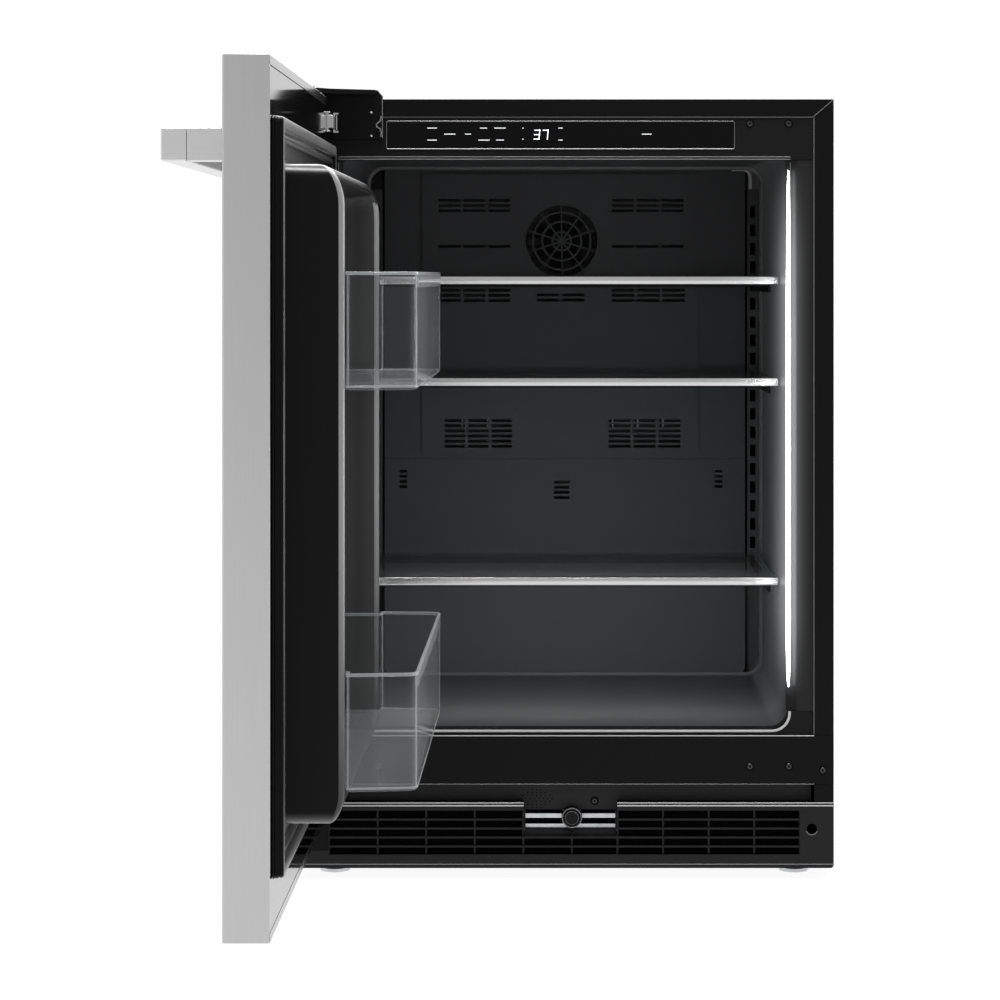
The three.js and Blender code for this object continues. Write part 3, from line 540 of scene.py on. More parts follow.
def make_stage():
    """Bright floor under the object."""
    bm = bmesh.new()
    floor_z = cad_box[0].z / MM
    corners = [(x * FLOOR_REACH, y * FLOOR_REACH) for x, y in ((-1, -1), (1, -1), (1, 1), (-1, 1))]
    bm.faces.new([bm.verts.new((x, y, floor_z)) for x, y in corners])
    bm.transform(Matrix.Scale(MM, 4))
    mesh = bpy.data.meshes.new("floor")
    bm.to_mesh(mesh)
    bm.free()
    shader = Shader("floor", None, grey(0.14), 0.7, Specular_IOR_Level=0.05)
    shader.bsdf.inputs["Emission Color"].default_value = (1, 1, 1, 1)
    shader.bsdf.inputs["Emission Strength"].default_value = FLOOR_GLOW
    mesh.materials.append(shader.material)
    floor = add_object("floor", mesh)


def make_world():
    """White to the camera, and a softer grey where it only lights the object."""
    world = bpy.data.worlds.new("studio")
    bpy.context.scene.world = world
    world.use_nodes = True
    tree = world.node_tree
    tree.nodes.clear()
    kinds = "OutputWorld TexCoord SeparateXYZ ValToRGB MapRange Background Background MixShader LightPath"
    made = [tree.nodes.new("ShaderNode" + kind) for kind in kinds.split()]
    out, place, split, ramp, shift, light, white, mix, path = made
    shift.inputs["From Min"].default_value = -1
    for position, value in SURROUNDINGS:
        if position in (0.0, 1.0):
            element = ramp.color_ramp.elements[int(position)]
        else:
            element = ramp.color_ramp.elements.new(position)
        element.color = (value, value, value, 1)
    white.inputs["Color"].default_value = (1, 1, 1, 1)
    white.inputs["Strength"].default_value = WHITE_STRENGTH
    for source, target in (
        (place.outputs["Generated"], split.inputs["Vector"]),
        (split.outputs["Y"], shift.inputs["Value"]),
        (shift.outputs["Result"], ramp.inputs["Fac"]),
        (ramp.outputs["Color"], light.inputs["Color"]),
        (path.outputs["Is Camera Ray"], mix.inputs["Fac"]),
        (light.outputs["Background"], mix.inputs[1]),
        (white.outputs["Background"], mix.inputs[2]),
        (mix.outputs["Shader"], out.inputs["Surface"]),
    ):
        tree.links.new(source, target)


def area_light(name, place, target, size, power, color=(1, 1, 1)):
    data = bpy.data.lights.new(name, "AREA")
    data.shape = "RECTANGLE"
    data.size, data.size_y = size[0] * MM, size[1] * MM
    data.energy = power
    data.color = color
    made = add_object(name, data)
    made.location = Vector(place) * MM
    made.rotation_euler = (Vector(target) - Vector(place)).to_track_quat("-Z", "Y").to_euler()
    return made


def make_lights():
    for row in STUDIO_LIGHTS:
        area_light(*row)
    for row in CAVITY_LIGHTS:
        light = area_light(*row, CAVITY_TINT)
        light.visible_camera = False
        light.visible_glossy = False


# ------------ door


def closed_span(node):
    """Like span, for a node of the door as it is when closed."""
    x0, x1, y0, y1, z0, z1 = span(node)
    across = [HINGE.y - y + HINGE.x for y in (y1, y0)]
    depth = [x - HINGE.x + HINGE.y for x in (x0, x1)]
    return (*across, *depth, z0, z1)


DOOR = closed_span("door_skin")
DOOR_FACE, DOOR_INNER = DOOR[2:4]
CREST = closed_span("door_liner")[3]
GASKET = closed_span("door_gasket")
SEAL = (*GASKET[:2], *GASKET[4:])
SEAL_BACK, SEAL_FACE = GASKET[2:4]
# the liner's raised rim round the bins: its outer x0, x1, z0, z1, and its width
DYKE = (-240, 240, 157, 770)
DYKE_WALL = 15
# height of the pan's end strips, outside the seams
SEAM = 9
KEEPER_X = (-259.6, -254)
# half the width of a bin between the rims, and the radius of its front corners
BIN_BACK = 224
BIN_CORNER = 12


def door_piece(name, bm, shader, stands_for=(), body="door", **options):
    return piece(name, bm, shader, stands_for, body, place=DOOR_TO_REST, **options)


def make_door_skin():
    """Folded steel pan: the face, its edges and narrow return lips, with a seam near each end."""
    x0, x1, z0, z1 = *DOOR[:2], *DOOR[4:]
    bm = bmesh.new()
    outline = [
        (x0 + 1.2, DOOR_INNER), (x0, DOOR_INNER - 1.2),
        (x0, DOOR_FACE + 1.6), (x0 + 0.5, DOOR_FACE + 0.5), (x0 + 1.6, DOOR_FACE),
        (x1 - 1.6, DOOR_FACE), (x1 - 0.5, DOOR_FACE + 0.5), (x1, DOOR_FACE + 1.6),
        (x1, DOOR_INNER - 1.2), (x1 - 1.2, DOOR_INNER),
    ]
    prism(bm, outline, "xy", z0, z1)
    door_piece("door_pan", bm, steel, ["door_skin"], bevel=0.7)
    lips = bmesh.new()
    lip = (DOOR_INNER - 0.4, DOOR_INNER + 0.25)
    for low, high in ((z0 + SEAM + 1.1, SEAL[2] + 6), (SEAL[3] - 6, z1 - SEAM - 1.1)):
        block(lips, x0 + 1.4, x1 - 1.4, *lip, low, high)
    for low, high in ((x0 + 1.4, SEAL[0] + 6), (SEAL[1] - 6, x1 - 1.4)):
        block(lips, low, high, *lip, SEAL[2] + 5, SEAL[3] - 5)
    door_piece("door_return_lips", lips, steel_inner)
    strips = bmesh.new()
    for low, high in ((z0 + 0.8, z0 + SEAM), (z1 - SEAM, z1 - 0.8)):
        block(strips, x0 + 1.4, x1 - 1.4, *lip, low, high)
    door_piece("door_end_strips", strips, steel_strip)
    dark = bmesh.new()
    for low, high in ((z1 - SEAM - 1.2, z1 - SEAM + 0.4), (z0 + SEAM - 0.4, z0 + SEAM + 1.2)):
        block(dark, x0 + 2, x1 - 2, DOOR_INNER - 0.4, DOOR_INNER + 0.08, low, high)
    door_piece("door_seams", dark, black_and_painted_shade)


def dyke_depth(z):
    """How far the liner's rim reaches at a height: full, and round at the top and bottom."""
    top_height, top_depth = 40, 24
    foot_height, foot_depth = 27, 11
    above = DYKE[3] - z
    below = z - DYKE[2]
    if above < top_height:
        part = 1 - max(0, above) / top_height
        return CREST - top_depth * (1 - math.sqrt(1 - part * part))
    if below < foot_height:
        part = 1 - max(0, below) / foot_height
        return CREST - foot_depth * part ** 1.6
    return CREST


def upright_outline(rect, radius):
    """Round-cornered outline with extra points near the top and bottom of its upright sides."""
    x0, x1, z0, z1 = rect
    steps = 6
    low = [z0 + radius + (z1 - z0) * 0.05 * i / 8 for i in range(9)]
    high = [z1 - radius - (z1 - z0) * 0.07 * i / 10 for i in range(10, -1, -1)]
    middle = [low[-1] + (high[0] - low[-1]) * i / 6 for i in range(1, 6)]
    levels = low + middle + high
    corner = rectangle(x0, x1, z0, z1, radius, steps)
    count = steps + 1
    right = [(x1, z) for z in levels[1:-1]]
    left = [(x0, z) for z in reversed(levels[1:-1])]
    return corner[:count] + right + corner[count : 3 * count] + left + corner[3 * count :]


def make_door_liner():
    """Formed sheet: a flat plate under the seal, the raised rim, and the sunk middle inside it."""
    plate = SEAL_BACK - 0.3
    base = DOOR_INNER + 0.35
    rounding = 5
    rings = []

    def ring(rect, radius, depth, rim=False):
        points = []
        for x, z in upright_outline(rect, radius):
            y = depth
            if rim:
                y = plate + (depth - plate) * (dyke_depth(z) - plate) / (CREST - plate)
            points.append((x, y, z))
        rings.append(points)

    ring(inset(SEAL, 4), 6, base)
    ring(inset(SEAL, 1), 6, base)
    ring(inset(SEAL, 0), 6, base + 0.6)
    ring(inset(SEAL, 0), 6, plate - 0.6)
    ring(inset(SEAL, 1), 6, plate)
    ring(inset(DYKE, -3.5), 18, plate)
    ring(inset(DYKE, -1.2), 17, plate + 1)
    ring(inset(DYKE, 0), 16, plate + 4, True)
    for angle in angles(15):
        depth = CREST - rounding + rounding * math.sin(angle)
        ring(inset(DYKE, rounding * (1 - math.cos(angle))), 16, depth, True)
    for angle in angles(18):
        depth = CREST - rounding + rounding * math.cos(angle)
        ring(inset(DYKE, 9 + rounding * math.sin(angle)), 14, depth, True)
    ring(inset(DYKE, DYKE_WALL), 14, CREST - 22, True)
    ring(inset(DYKE, DYKE_WALL + 1), 14, plate + 8, True)
    ring(inset(DYKE, DYKE_WALL + 3), 14, plate + 3, True)
    ring(inset(DYKE, DYKE_WALL + 8), 12, plate + 0.8)
    bm = loops(bmesh.new(), rings)
    shell = door_piece("door_inner_shell", bm, door_liner_plastic, ["door_liner"], angle=50)
    shell.data.materials.append(rim_highlight_plastic.material)
    shell.data.materials.append(dyke_lit_plastic.material)
    # bands of faces between the rings: the rim with its rounded edges, which takes the painted highlight,
    # and what lies inside it, which takes the lighter painted light; near the top the inner bands keep the
    # lighter one
    rim_bands = range(8, 20)
    inner_bands = range(14, 23)
    lit_top = 745 * MM
    for polygon in shell.data.polygons:
        band = polygon.index // len(rings[0])
        inner_top = band in inner_bands and polygon.center.z > lit_top
        if band in rim_bands and not inner_top:
            polygon.material_index = 1
        elif band in inner_bands:
            polygon.material_index = 2


def make_bin_lugs():
    """Lugs on the inner sides of the rim, which carry the bins."""
    lugs = bmesh.new()
    for name in ("upper_bin", "lower_bin"):
        low = span(name)[4]
        for side in (-1, 1):
            u = sorted((side * (DYKE[1] - DYKE_WALL - 11), side * (DYKE[1] - DYKE_WALL + 1)))
            outline = rectangle(FRONT + 4, FRONT + 44, low - 10, low - 0.4, 3, 3)
            prism(lugs, outline, "yz", *u)
    door_piece("bin_lugs", lugs, door_liner_plastic, bevel=0.6)


def make_gasket():
    """Magnetic seal: a soft face, a groove and a folded inner lip."""
    back, face = SEAL_BACK - 0.1, SEAL_FACE
    profile = [
        (0.3, back), (0.3, back + 2.6), (1.2, back + 3.4),
        (0.8, face - 2.6), (1.6, face - 0.7), (3.4, face), (11.6, face), (13.2, face - 0.6),
        (13.8, face - 2.4), (13.2, face - 4.6), (15.2, face - 5.0), (16.4, face - 3.6),
        (18.4, face - 2.6), (20.6, face - 3.2), (21.6, face - 5.0), (21.8, back),
    ]
    bm = frame_sweep(bmesh.new(), SEAL, 7, profile, 4)
    door_piece("magnetic_gasket", bm, gasket, ["door_gasket"], angle=60)


def make_handle():
    """Square bar on two end posts, each with a thin collar against the door."""
    bar = closed_span("handle_bar")
    bm = block(bmesh.new(), *bar)
    door_piece("handle_grip", bm, steel_across, ["handle_bar"], bevel=1.3, segments=3)
    for node in ("handle_post_hinge_side", "handle_post_latch_side"):
        x0, x1, _, _, z0, z1 = closed_span(node)
        bm = block(bmesh.new(), x0, x1, bar[3] + 0.25, DOOR_FACE - 1.4, z0, z1)
        block(bm, x0 + 1, x1 - 1, DOOR_FACE - 1.6, DOOR_FACE - 0.05, z0 + 1, z1 - 1)
        door_piece(node + "_block", bm, steel_across, [node], bevel=0.9)


def make_stop_block():
    """Nose on a base plate, next to the upper hinge pin, and its keeper on the cabinet."""
    x0, x1, y0, y1, low, high = closed_span("door_stop_block")
    bm = bmesh.new()
    block(bm, x0 + 0.2, x1 - 0.2, y0, y0 + 1.8, low, high)
    block(bm, x0 + 1, x1, y0 + 1.6, y1, low + 4, high - 4)
    for z0, z1 in ((low, low + 1.4), (high - 1.4, high)):
        block(bm, x0 + 0.6, x1 - 0.2, y0 + 1.6, y0 + 3.6, z0, z1)
    door_piece("stop_block", bm, bright, ["door_stop_block"], bevel=0.4)
    keeper = bmesh.new()
    face = FRONT - 3.6
    left, right = KEEPER_X
    block(keeper, left, left + 2, face - 2.8, face, low, high)
    for z0, z1 in ((low, low + 2.2), (high - 2.2, high)):
        block(keeper, left, right, face - 1.2, face, z0, z1)
    block(keeper, left + 3, left + 4.2, face - 0.8, face, low + 3, high - 3)
    piece("stop_keeper", keeper, bright, bevel=0.25)


def bin_outline(node, by):
    """Plan of a bin: narrow between the liner's rims, wider in front of them, round front corners."""
    front = node[3] - by
    back = node[2] + by
    shoulder = CREST + 1.2 + by
    wide = node[1] - by
    narrow = BIN_BACK - by
    corner = BIN_CORNER - by
    centre = wide - 6 - corner
    points = [(narrow, back), (narrow, shoulder), (wide - 2, shoulder), (wide - 0.6, shoulder + 1.4)]
    for angle in angles(15):
        points.append((centre + corner * math.cos(angle), front - corner + corner * math.sin(angle)))
    return points + [(-x, y) for x, y in reversed(points)]


def bin_band(bm, node, outside, inside, low, high):
    """Band of a bin's outline between two insets and two heights."""
    outer = [(outside, low), (outside, high - 0.5), (outside + 0.5, high)]
    inner = [(inside - 0.5, high), (inside, high - 0.5), (inside, low)]
    rings = [on_plane(bin_outline(node, by), "xy", z) for by, z in outer + inner]
    return loops(bm, rings, closed=True)


def make_bin(node_name, body):
    """Clear trough with fuller edges and a rail for labels; rims and rail are whitish, as painted
    highlights.
    """
    node = closed_span(node_name)
    low, high = node[4:]
    rings = []
    for by, z in (
        (4.5, low), (2.2, low + 0.6), (1.0, low + 2.2), (0.7, low + 5), (0.7, high - 3.2),
        (2.9, high - 3.2), (3.1, low + 8), (3.6, low + 4.4), (5.2, low + 3.0), (9.0, low + 2.6),
    ):
        rings.append(on_plane(bin_outline(node, by), "xy", z))
    bm = loops(bmesh.new(), rings)
    door_piece(node_name + "_trough", bm, clear, [node_name], body, angle=50)
    rims = bmesh.new()
    bin_band(rims, node, 0.0, 3.1, high - 3, high)
    bin_band(rims, node, 0.5, 1.5, low + 2.4, low + 4.4)
    wide = node[1]
    front = node[3]
    for side in (-1, 1):
        for x, y in ((wide - 8.4, front - 1.8), (wide - 2.4, CREST + 3.2)):
            outline = rectangle(*sorted((side * x, side * (x - 1.4))), y - 0.7, y + 0.7, 0.5, 2)
            prism(rims, outline, "xy", low + 4, high - 3)
    door_piece(node_name + "_rims", rims, clear_edge_highlight, body=body, bevel=0.2)
    outline = rectangle(front - 3.4, front - 0.1, high - 15, high - 3.1, 1.2, 2)
    rail = prism(bmesh.new(), outline, "yz", -wide + 22, wide - 22)
    door_piece(node_name + "_label_rail", rail, clear_edge_highlight, body=body, bevel=0.3)


# ------------ cabinet outside

SCREW_X = (208.7, 252.5)
# the grille's notch (x0, x1), its round holes (x, z, radius of their rim) and the knob's height
NOTCH = (-46, 59.5)
GRILLE_HOLE = (278.3, 44, 6.6)
KNOB_Z = 55.7
# the toe panel's patch of holes: how many in each row, its middle and top, and its pitch
HOLE_ROWS = (3, 5, 7, 8, 7, 5, 3)
HOLE_PATCH = (-31.5, 85.6)
HOLE_PITCH = (5, 3.4)


def make_wrapper():
    """Side and top sheets with folded front flanges that meet in mitres."""
    sheet = 1.0
    flange_x = span("control_fascia")[1] + 0.3
    flange_z = span("control_fascia")[5] + 0.3
    bar = span("lower_crossbar")
    grille = span("kick_grille")
    toe = grille[3] + 1.5
    miter = 0.35
    bm = bmesh.new()
    for side in (-1, 1):
        def x(value):
            return side * value

        web = [
            (toe, BASE), (BACK, BASE), (BACK, TOP - 0.2), (FRONT + 0.3, TOP - 0.2),
            (FRONT + 0.3, grille[5] + 0.5), (toe, grille[5] + 0.5),
        ]
        prism(bm, web, "yz", x(X1 - sheet), x(X1))
        flange = [
            (x(flange_x), bar[5] + 0.3), (x(X1), bar[5] + 0.3),
            (x(X1), TOP - miter), (x(flange_x), flange_z - miter),
        ]
        prism(bm, flange, "xz", FRONT, FRONT + sheet)
        block(bm, *sorted((x(flange_x), x(flange_x + 1))), FRONT + 0.5, FRONT + 6, bar[5] + 0.3, flange_z)
        foot = [
            (x(flange_x), grille[5] + 0.5), (x(X1), grille[5] + 0.5),
            (x(X1), bar[4] - 0.3), (x(flange_x), bar[4] - 0.3),
        ]
        prism(bm, foot, "xz", FRONT, FRONT + sheet)
    corner, edge = flange_x - miter, X1 - miter
    top = [(-edge, TOP), (edge, TOP), (corner, flange_z), (-corner, flange_z)]
    prism(bm, top, "xz", FRONT, FRONT + sheet)
    block(bm, X0, X1, FRONT + 0.3, BACK, TOP - sheet, TOP)
    block(bm, -flange_x, flange_x, FRONT + 0.5, FRONT + 6, flange_z, flange_z + 1)
    piece("cabinet_sheets", bm, paint, ["cabinet_wrapper"], bevel=0.45)


def screw_head(bm, x, y, z):
    """Pan head with a round recess, standing out of the plane y towards -y."""
    head = [(0.9, 0.2), (3.4, 0.2), (3.4, -0.5), (2.72, -1.25), (1.7, -1.5)]
    recess = [(1.5, -1.5), (1.5, -0.5), (0.9, -0.4)]
    turned(bm, head + recess, (x, y, z), 24)


def make_front_screws():
    fascia = span("control_fascia")
    bar = span("lower_crossbar")
    toe = span("toe_panel")
    columns = [side * x for side in (-1, 1) for x in SCREW_X]
    washer = [(0.9, -0.05), (4.9, -0.05), (4.9, -0.25), (4.4, -0.45), (0.9, -0.45)]
    for name, spots, y in (
        ("fascia_screws", [(x, fascia[5] - 8) for x in columns], fascia[2]),
        ("crossbar_screws", [(x, bar[4] + 20.4) for x in columns], bar[2]),
        ("flange_screws", [(290.6, 110)], FRONT),
        ("toe_screw", [(34, 72.8)], toe[2]),
    ):
        heads = bmesh.new()
        washers = bmesh.new()
        for x, z in spots:
            screw_head(heads, x, y, z)
            turned(washers, washer, (x, y, z))
        piece(name, heads, screw_metal, bevel=0.15)
        piece(name + "_washers", washers, black_and_painted_shade)


def make_edge_highlights():
    """Rolled edges of the front sheets and mouldings, drawn as grey beads: painted highlights where the
    edges catch the light.
    """
    fascia = span("control_fascia")
    bar = span("lower_crossbar")
    grille = span("kick_grille")
    bottom, top = fascia[4:]
    right = fascia[1] + 0.15
    opening = span("breaker_strip_right")[0] + 3.8
    opening_y = -276.6
    dim = bmesh.new()
    for z, reach in ((top - 0.6, fascia[1]), (bottom + 3.2, opening), (bottom + 0.5, opening)):
        bead(dim, [(-reach, z), (reach, z)], 0.5, fascia[2] + 0.1, 0.4)
    for side in (-1, 1):
        bead(dim, [(side * right, bar[5] + 1), (side * right, top - 1)], 0.5, FRONT + 0.6)
        x, z, radius = GRILLE_HOLE
        hole = []
        for angle in angles(20, 200, 340):
            hole.append((side * x + radius * math.cos(angle), z + radius * math.sin(angle)))
        bead(dim, hole, 0.5, FRONT + 0.1, 0.4)
        bead(dim, [(side * right, top + 0.3), (side * (X1 - 0.4), TOP - 0.4)], 0.35, FRONT + 0.1, 0.3)
        bead(dim, [(side * opening, 203), (side * opening, bottom - 3)], 0.4, opening_y, 0.6)
    bead(dim, [(grille[0] + 4, grille[4] + 4.4), (grille[1] - 0.5, grille[4] + 4.4)], 0.6, FRONT + 0.1, 0.4)
    bead(dim, [(bar[0] + 22, bar[4] + 0.5), (bar[1] - 22, bar[4] + 0.5)], 0.4, FRONT + 0.1, 0.35)
    piece("edge_lines", dim, edge_highlight_plastic)
    lit = bmesh.new()
    bead(lit, [(-right, bar[5] - 0.6), (right, bar[5] - 0.6)], 0.6, FRONT + 0.1, 0.4)
    for low, high in ((grille[0] + 0.5, NOTCH[0]), (NOTCH[1], grille[1] - 0.5)):
        for z, radius in ((grille[5] - 0.7, 0.6), (grille[5] - 3.8, 0.8)):
            bead(lit, [(low, z), (high, z)], radius, FRONT + 0.1, 0.4)
    piece("lit_edge_lines", lit, lip_highlight_plastic)


def make_cavity_lip():
    """Rounded front lip of the liner along the bottom of the opening and up its corners, light grey as a
    painted highlight.
    """
    sill = span("cavity_sill")
    corner, x, z = 20, 253.6, 153.8
    path = [(x, sill[5])]
    for angle in angles(15):
        path.append((x - corner + corner * math.cos(angle), z + corner - corner * math.sin(angle)))
    path += [(-x, z) for x, z in reversed(path)]
    bm = bead(bmesh.new(), path, 1.6, sill[2] + 0.4, 0.9)
    piece("cavity_front_lip", bm, lip_highlight_plastic)


def make_grille_details():
    """What shows behind the grille and in its notch, and fine parts of the knob and the toe panel."""
    grille = span("kick_grille")
    toe = span("toe_panel")
    knob = span("grille_knob")
    bars = span("latch_bracket")
    knob_x = (knob[0] + knob[1]) / 2
    # black sheet behind the grille: painted shade where the inside of the base would show through the slats
    screen = block(bmesh.new(), -270, 270, bars[3] + 1, bars[3] + 2, 2.6, toe[4] - 0.5)
    piece("shade_screen", screen, black_and_painted_shade)
    profile = [(grille[3] - 0.5, 34), (grille[3] - 0.5, 36), (bars[2] - 3, 42.2), (bars[2] - 3, 34)]
    ledge = prism(bmesh.new(), profile, "yz", NOTCH[0] + 0.5, NOTCH[1] - 0.5)
    piece("notch_ledge", ledge, toe_lit_plastic, bevel=0.4)
    cheeks = bmesh.new()
    for low, high in ((NOTCH[0] - 1, NOTCH[0] + 1.9), (NOTCH[1] - 2.1, NOTCH[1] + 1)):
        block(cheeks, low, high, bars[2] - 3.5, bars[2] - 0.3, 41, 64)
    piece("notch_cheeks", cheeks, grille_plastic, bevel=0.3)
    pin = block(bmesh.new(), knob_x - 1.1, knob_x + 1.1, bars[2] - 4.4, bars[2] - 3.2, 36.6, 43.6)
    piece("notch_pin", pin, bright, bevel=0.3)
    ring = bmesh.new()
    for radius, width in ((11.2, 0.9), (7.6, 0.6)):
        inner = radius - width
        profile = [(inner, 2.0), (inner, 0.3), (radius - width / 2, 0.05), (radius, 0.3), (radius, 2.0)]
        turned(ring, profile, (knob_x, knob[2], KNOB_Z), 40, closed=True)
    piece("knob_rings", ring, edge_highlight_plastic, body="knob")
    # black dots: painted shade of the toe panel's holes
    holes = bmesh.new()
    dot = [(0.01, 0.02), (0.85, 0.02), (0.85, -0.12), (0.01, -0.12)]
    for row, count in enumerate(HOLE_ROWS):
        z = HOLE_PATCH[1] - row * HOLE_PITCH[1]
        for i in range(count):
            x = HOLE_PATCH[0] + (i - (count - 1) / 2) * HOLE_PITCH[0]
            turned(holes, dot, (x, toe[2], z), 8)
    piece("toe_perforation", holes, black_and_painted_shade)


def make_hinge_details():
    """Rivets and a small link on the plate of the top hinge."""
    plate = span("top_hinge_bracket")
    face = FRONT - 3.5
    bm = bmesh.new()
    rivet = [(0.01, 0.2), (1.2, 0.2), (1.2, -0.5), (0.6, -0.8), (0.01, -0.8)]
    for z in (850, 823.5):
        turned(bm, rivet, (-217, face, z), 16)
    piece("hinge_rivets", bm, bright)
    upper = [(-206, 846), (-206.5, 841), (-209, 838.5), (-211.5, 836.5)]
    lower = [(-211, 833.5), (-207.5, 831.5), (-206, 828), (-206, 822.5)]
    link = bead(bmesh.new(), upper + lower, 0.9, face + 0.2, 1.2)
    piece("hinge_link", link, edge_highlight_plastic)
    # grey beads along the plate's edges: painted highlights
    edge = bmesh.new()
    side = -204.6
    bead(edge, [(side, 821), (side, 868)], 0.5, face + 0.2, 0.4)
    bead(edge, [(plate[0] + 1, 874.4), (side - 5.9, 874.4), (side, 867.8)], 0.35, face + 0.2, 0.3)
    piece("hinge_plate_edge", edge, edge_highlight_plastic)


# ------------ control panel

SEGMENTS = {"3": "abgcd", "7": "abc"}
FIGURES = (("3", -34.4), ("7", -25.0))
FIGURE_SIZE = (6.8, 11.2)
FIGURE_DROP = 5.1
FIGURE_SLANT = 0.1
# x, height above the middle of the panel, and width
CONTROL_MARKS = (
    (-154.5, 7.9, 11), (-154.5, -5.6, 11), (-135.5, 1.1, 13), (-112, 1.1, 7), (-95, 7.9, 8),
    (-97, -5.6, 13), (-79, 7.9, 13), (-77, -5.6, 9), (-47.5, 7.9, 1.6), (-47.5, -4.5, 1.6),
    (-7, 7.9, 5), (-7, -5.6, 5), (87, 1.1, 11),
)


def make_digit(bm, sign, x, z, width, height, y):
    """Seven-segment figure of slim bars."""
    thick = 1.3
    spots = {
        "a": (x, z + height - thick, width, thick),
        "g": (x, z + height / 2 - thick / 2, width, thick),
        "d": (x, z, width, thick),
        "b": (x + width - thick, z + height / 2, thick, height / 2),
        "c": (x + width - thick, z, thick, height / 2),
    }
    for letter in SEGMENTS[sign]:
        u, v, w, h = spots[letter]
        block(bm, u + 0.15, u + w - 0.15, y - 0.25, y, v + 0.15, v + h - 0.15)


def make_control_panel():
    """Dark window in a thin silver frame, with its figures and marks."""
    glass_node = span("control_glass")
    bezel = span("control_bezel")
    y = glass_node[2]
    middle = (glass_node[4] + glass_node[5]) / 2
    outline = rectangle(*glass_node[:2], *glass_node[4:], 1.4, 4)
    bm = prism(bmesh.new(), outline, "xz", y, glass_node[3])
    piece("control_window", bm, gloss, ["control_glass"], bevel=0.3)
    rect = (*bezel[:2], *bezel[4:])
    y0, y1 = bezel[2], bezel[3]
    profile = [(0, y1), (0, y0 + 0.5), (0.3, y0), (0.8, y0), (1.5, y0 + 0.7), (1.5, y1)]
    bm = frame_sweep(bmesh.new(), rect, 2.6, profile, 5)
    piece("control_frame", bm, trim, ["control_bezel"], angle=60)
    bm = bmesh.new()
    for sign, x in FIGURES:
        make_digit(bm, sign, x, middle - FIGURE_DROP, *FIGURE_SIZE, y - 0.1)
    for vert in bm.verts:
        vert.co.x += (vert.co.z - middle) * FIGURE_SLANT
    piece("temperature_figures", bm, digits)
    bm = bmesh.new()
    for x, z, width in CONTROL_MARKS:
        outline = rectangle(x, x + width, middle + z - 0.5, middle + z + 0.5, 0.45, 2)
        prism(bm, outline, "xz", y - 0.25, y - 0.02)
    piece("control_marks", bm, marks)


# ------------ cold space

LINER_WALL = 2.5
LINER_CORNER = 20
LINER_BEND = 16
LAMP_X = 252.4


def make_liner():
    """Vacuum-formed shell with round corners all round and a soft front lip."""
    node = span("inner_liner")
    rect = (*node[:2], *node[4:])
    outside = rectangle(*rect, LINER_CORNER + LINER_WALL, 8)
    rings = [on_plane(outside, "xz", node[3]), on_plane(outside, "xz", node[2] + 0.4)]
    start = node[3] - LINER_WALL - LINER_BEND
    inner = [(0.0, node[2] + 0.2), (0.0, node[2] + 3), (0.0, start)]
    for turn in (20, 40, 60, 75, 90):
        angle = math.radians(turn)
        inner.append((LINER_BEND * (1 - math.cos(angle)), start + LINER_BEND * math.sin(angle)))
    for by, y in inner:
        outline = rectangle(*inset(rect, LINER_WALL + by), LINER_CORNER - by * 0.2, 8)
        rings.append(on_plane(outline, "xz", y))
    bm = loops(bmesh.new(), rings)
    piece("cavity_shell", bm, liner, ["inner_liner"], angle=50)


def make_cavity_step():
    """Low ridge round the cold space where the liner steps in, just in front of the ladders."""
    node = span("inner_liner")
    front = span("shelf_ladder_right")[2] - 4
    rect = inset((*node[:2], *node[4:]), 4)
    profile = [(-2, front + 2), (2, front + 2), (2.6, front + 0.8), (2, front), (-2, front)]
    bm = frame_sweep(bmesh.new(), rect, LINER_CORNER, profile, 8)
    piece("cavity_step", bm, step_highlight_plastic, angle=60)


def make_ladder_details():
    """Dark strips behind the slots of the ladders, as painted shade, and a light bead on the end of the
    right-hand channel, as a painted highlight.
    """
    backs = bmesh.new()
    for word in ("left", "right"):
        node = span("shelf_ladder_" + word)
        low, high = sorted((node[0], node[1]), key=abs)
        side = 1 if low > 0 else -1
        block(backs, *sorted((low - side, high + side * 3)), node[3] + 1.6, node[3] + 2.4, node[4], node[5])
    piece("ladder_backs", backs, black_and_painted_shade)
    right = span("shelf_ladder_right")
    corner, x, z = 10, right[0] + 4, right[5] + 26
    path = [(x - 24, z)]
    for angle in reversed(angles(15)):
        path.append((x - corner + corner * math.cos(angle), z - corner + corner * math.sin(angle)))
    path.append((x, right[5] + 0.6))
    cap = bead(bmesh.new(), path, 2.4, right[2] + 0.8, 1.8)
    piece("ladder_cap", cap, cap_highlight_plastic)


def make_light_strips():
    """Slim glowing lens with pointed ends, in a dark channel."""
    for side, word in ((1, "right"), (-1, "left")):
        node = span("light_strip_" + word)
        low, high = node[4:]
        if side < 0:
            high -= 14
        centre = side * LAMP_X
        rings = []
        for z, width in (
            (low, 0.4), (low + 8, 1.2), (low + 22, 1.9), (low + 60, 2.6),
            (high - 170, 2.6), (high - 90, 2.0), (high - 30, 1.4), (high - 6, 0.9), (high, 0.4),
        ):
            ring = []
            for step in range(9):
                turn = math.pi * step / 8
                ring.append((centre + width * math.cos(turn), node[2] + 3.4 - width * math.sin(turn), z))
            rings.append(ring)
        bm = loops(bmesh.new(), rings)
        piece("light_lens_" + word, bm, glow, ["light_strip_" + word])


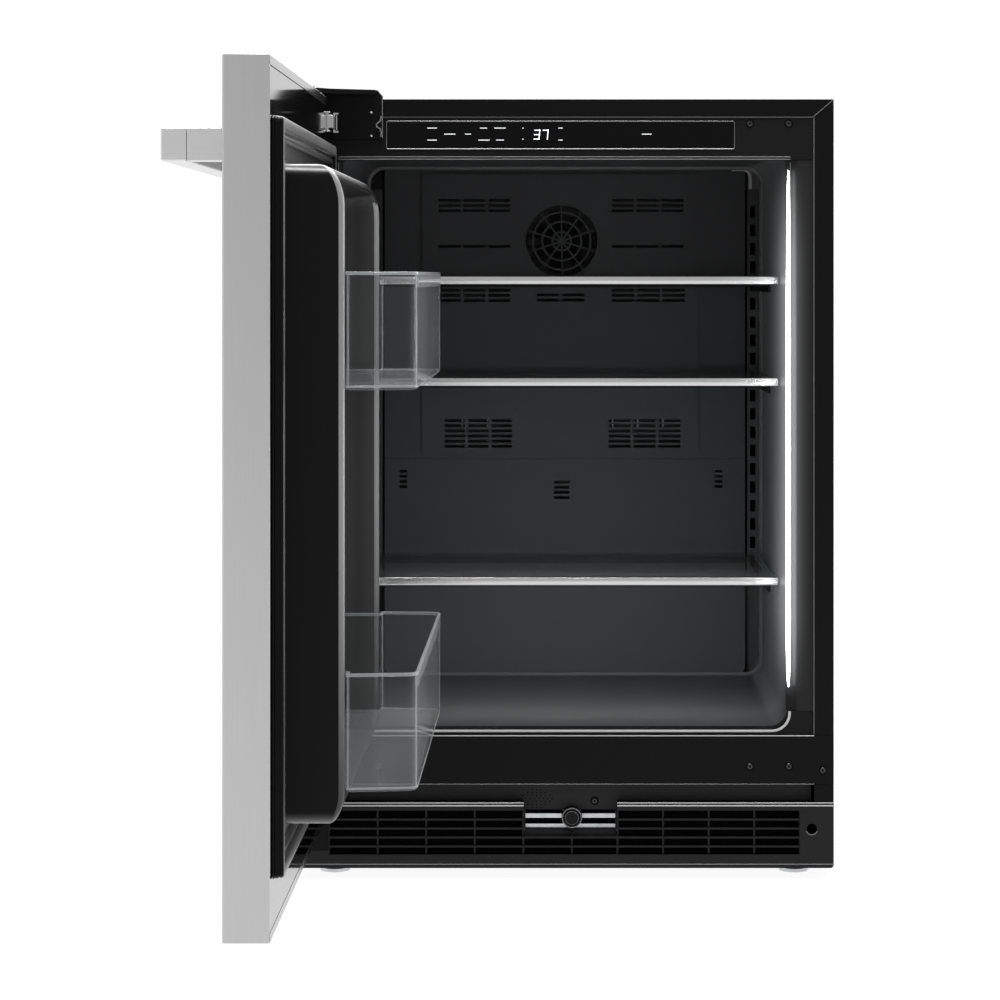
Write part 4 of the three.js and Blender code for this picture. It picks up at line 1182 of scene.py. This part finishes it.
def make_shelf(name):
    """Glass pane with bright edges, a rounded front trim, and the frame under it."""
    body = "shelf_" + name
    pane = span(body + "_glass")
    trim_node = span(body + "_trim")
    bm = prism(bmesh.new(), rectangle(*pane[:4], 3, 4), "xy", *pane[4:])
    piece(body + "_pane", bm, glass, [body + "_glass"], body, bevel=0.8)
    edges = bmesh.new()
    for low, high in ((pane[0] + 0.3, pane[0] + 1.5), (pane[1] - 1.5, pane[1] - 0.3)):
        outline = rectangle(low, high, pane[2] + 4, pane[3] - 4, 0.3, 2)
        prism(edges, outline, "xy", pane[4] + 0.8, pane[5] - 0.8)
    piece(body + "_pane_edges", edges, glass_edge, body=body)
    y0, y1, z0, z1 = trim_node[2:]
    profile = [
        (y1, z1), (y0 + 2, z1), (y0 + 0.6, z1 - 0.6), (y0, z1 - 2),
        (y0, z0 + 2), (y0 + 0.6, z0 + 0.6), (y0 + 2, z0), (y1, z0),
        (y1, z0 + 1), (y0 + 3, z0 + 1), (y0 + 3, z1 - 5.4), (y0 + 3, z1 - 0.7), (y1, z1 - 0.7),
    ]
    bm = prism(bmesh.new(), profile, "yz", *trim_node[:2])
    piece(body + "_nose", bm, shelf_metal, [body + "_trim"], body, bevel=0.25)
    finish_node(body + "_frame", paint, 0.4)


# ------------ everything else from the frame

# names of CAD nodes, their material and the bevel of their edges
FRAME_LOOKS = (
    ("control_fascia cavity_sill", plastic, 0.5),
    ("breaker_strip_left breaker_strip_right", breaker_lit_plastic, 0.5),
    ("toe_panel", toe_lit_plastic, 0.3),
    ("lower_crossbar", paint, 0.4),
    ("shelf_ladder_left shelf_ladder_right", wall_plastic, 0.4),
    ("top_hinge_bracket bottom_hinge_bracket", paint, 0.5),
    ("kick_grille", grille_plastic, 0.6),
    ("grille_knob", plastic, 0.8),
    # the base pan in black paint: painted shade where it shows through the grille
    ("base_pan", paint, 0.4),
    ("latch_bracket", zinc, 0.4),
    ("rear_panel", rear_steel, 0.4),
    ("evaporator_cover duct_cover", wall_plastic, 0.4),
    ("evaporator_fan condenser_fan power_inlet drain_pan", plastic, 0.4),
    ("evaporator_coil condenser_coil", fins, 0),
    ("compressor condenser_fan_shroud evaporator_fan_motor", machine, 0.6),
    ("discharge_tube", copper, 0),
    ("cabinet_foam door_foam", foam_fill, 0),
    ("top_hinge_pin bottom_hinge_pin", bright, 0.5),
    ("control_board", board, 0.2),
    ("levelling_leg_front_left levelling_leg_front_right", zinc, 0.3),
    ("levelling_leg_rear_left levelling_leg_rear_right", zinc, 0.3),
)


make_camera()
make_world()
make_stage()
make_lights()
make_door_skin()
make_door_liner()
make_bin_lugs()
make_gasket()
make_handle()
make_stop_block()
make_bin("upper_bin", "bin_upper")
make_bin("lower_bin", "bin_lower")
make_wrapper()
make_front_screws()
make_edge_highlights()
make_cavity_lip()
make_grille_details()
make_hinge_details()
make_control_panel()
make_liner()
make_cavity_step()
make_ladder_details()
make_light_strips()
for name in ("top", "middle", "lower"):
    make_shelf(name)
for names, shader, bevel in FRAME_LOOKS:
    for name in names.split():
        finish_node(name, shader, bevel)
bpy.context.scene.view_settings.view_transform = "Standard"
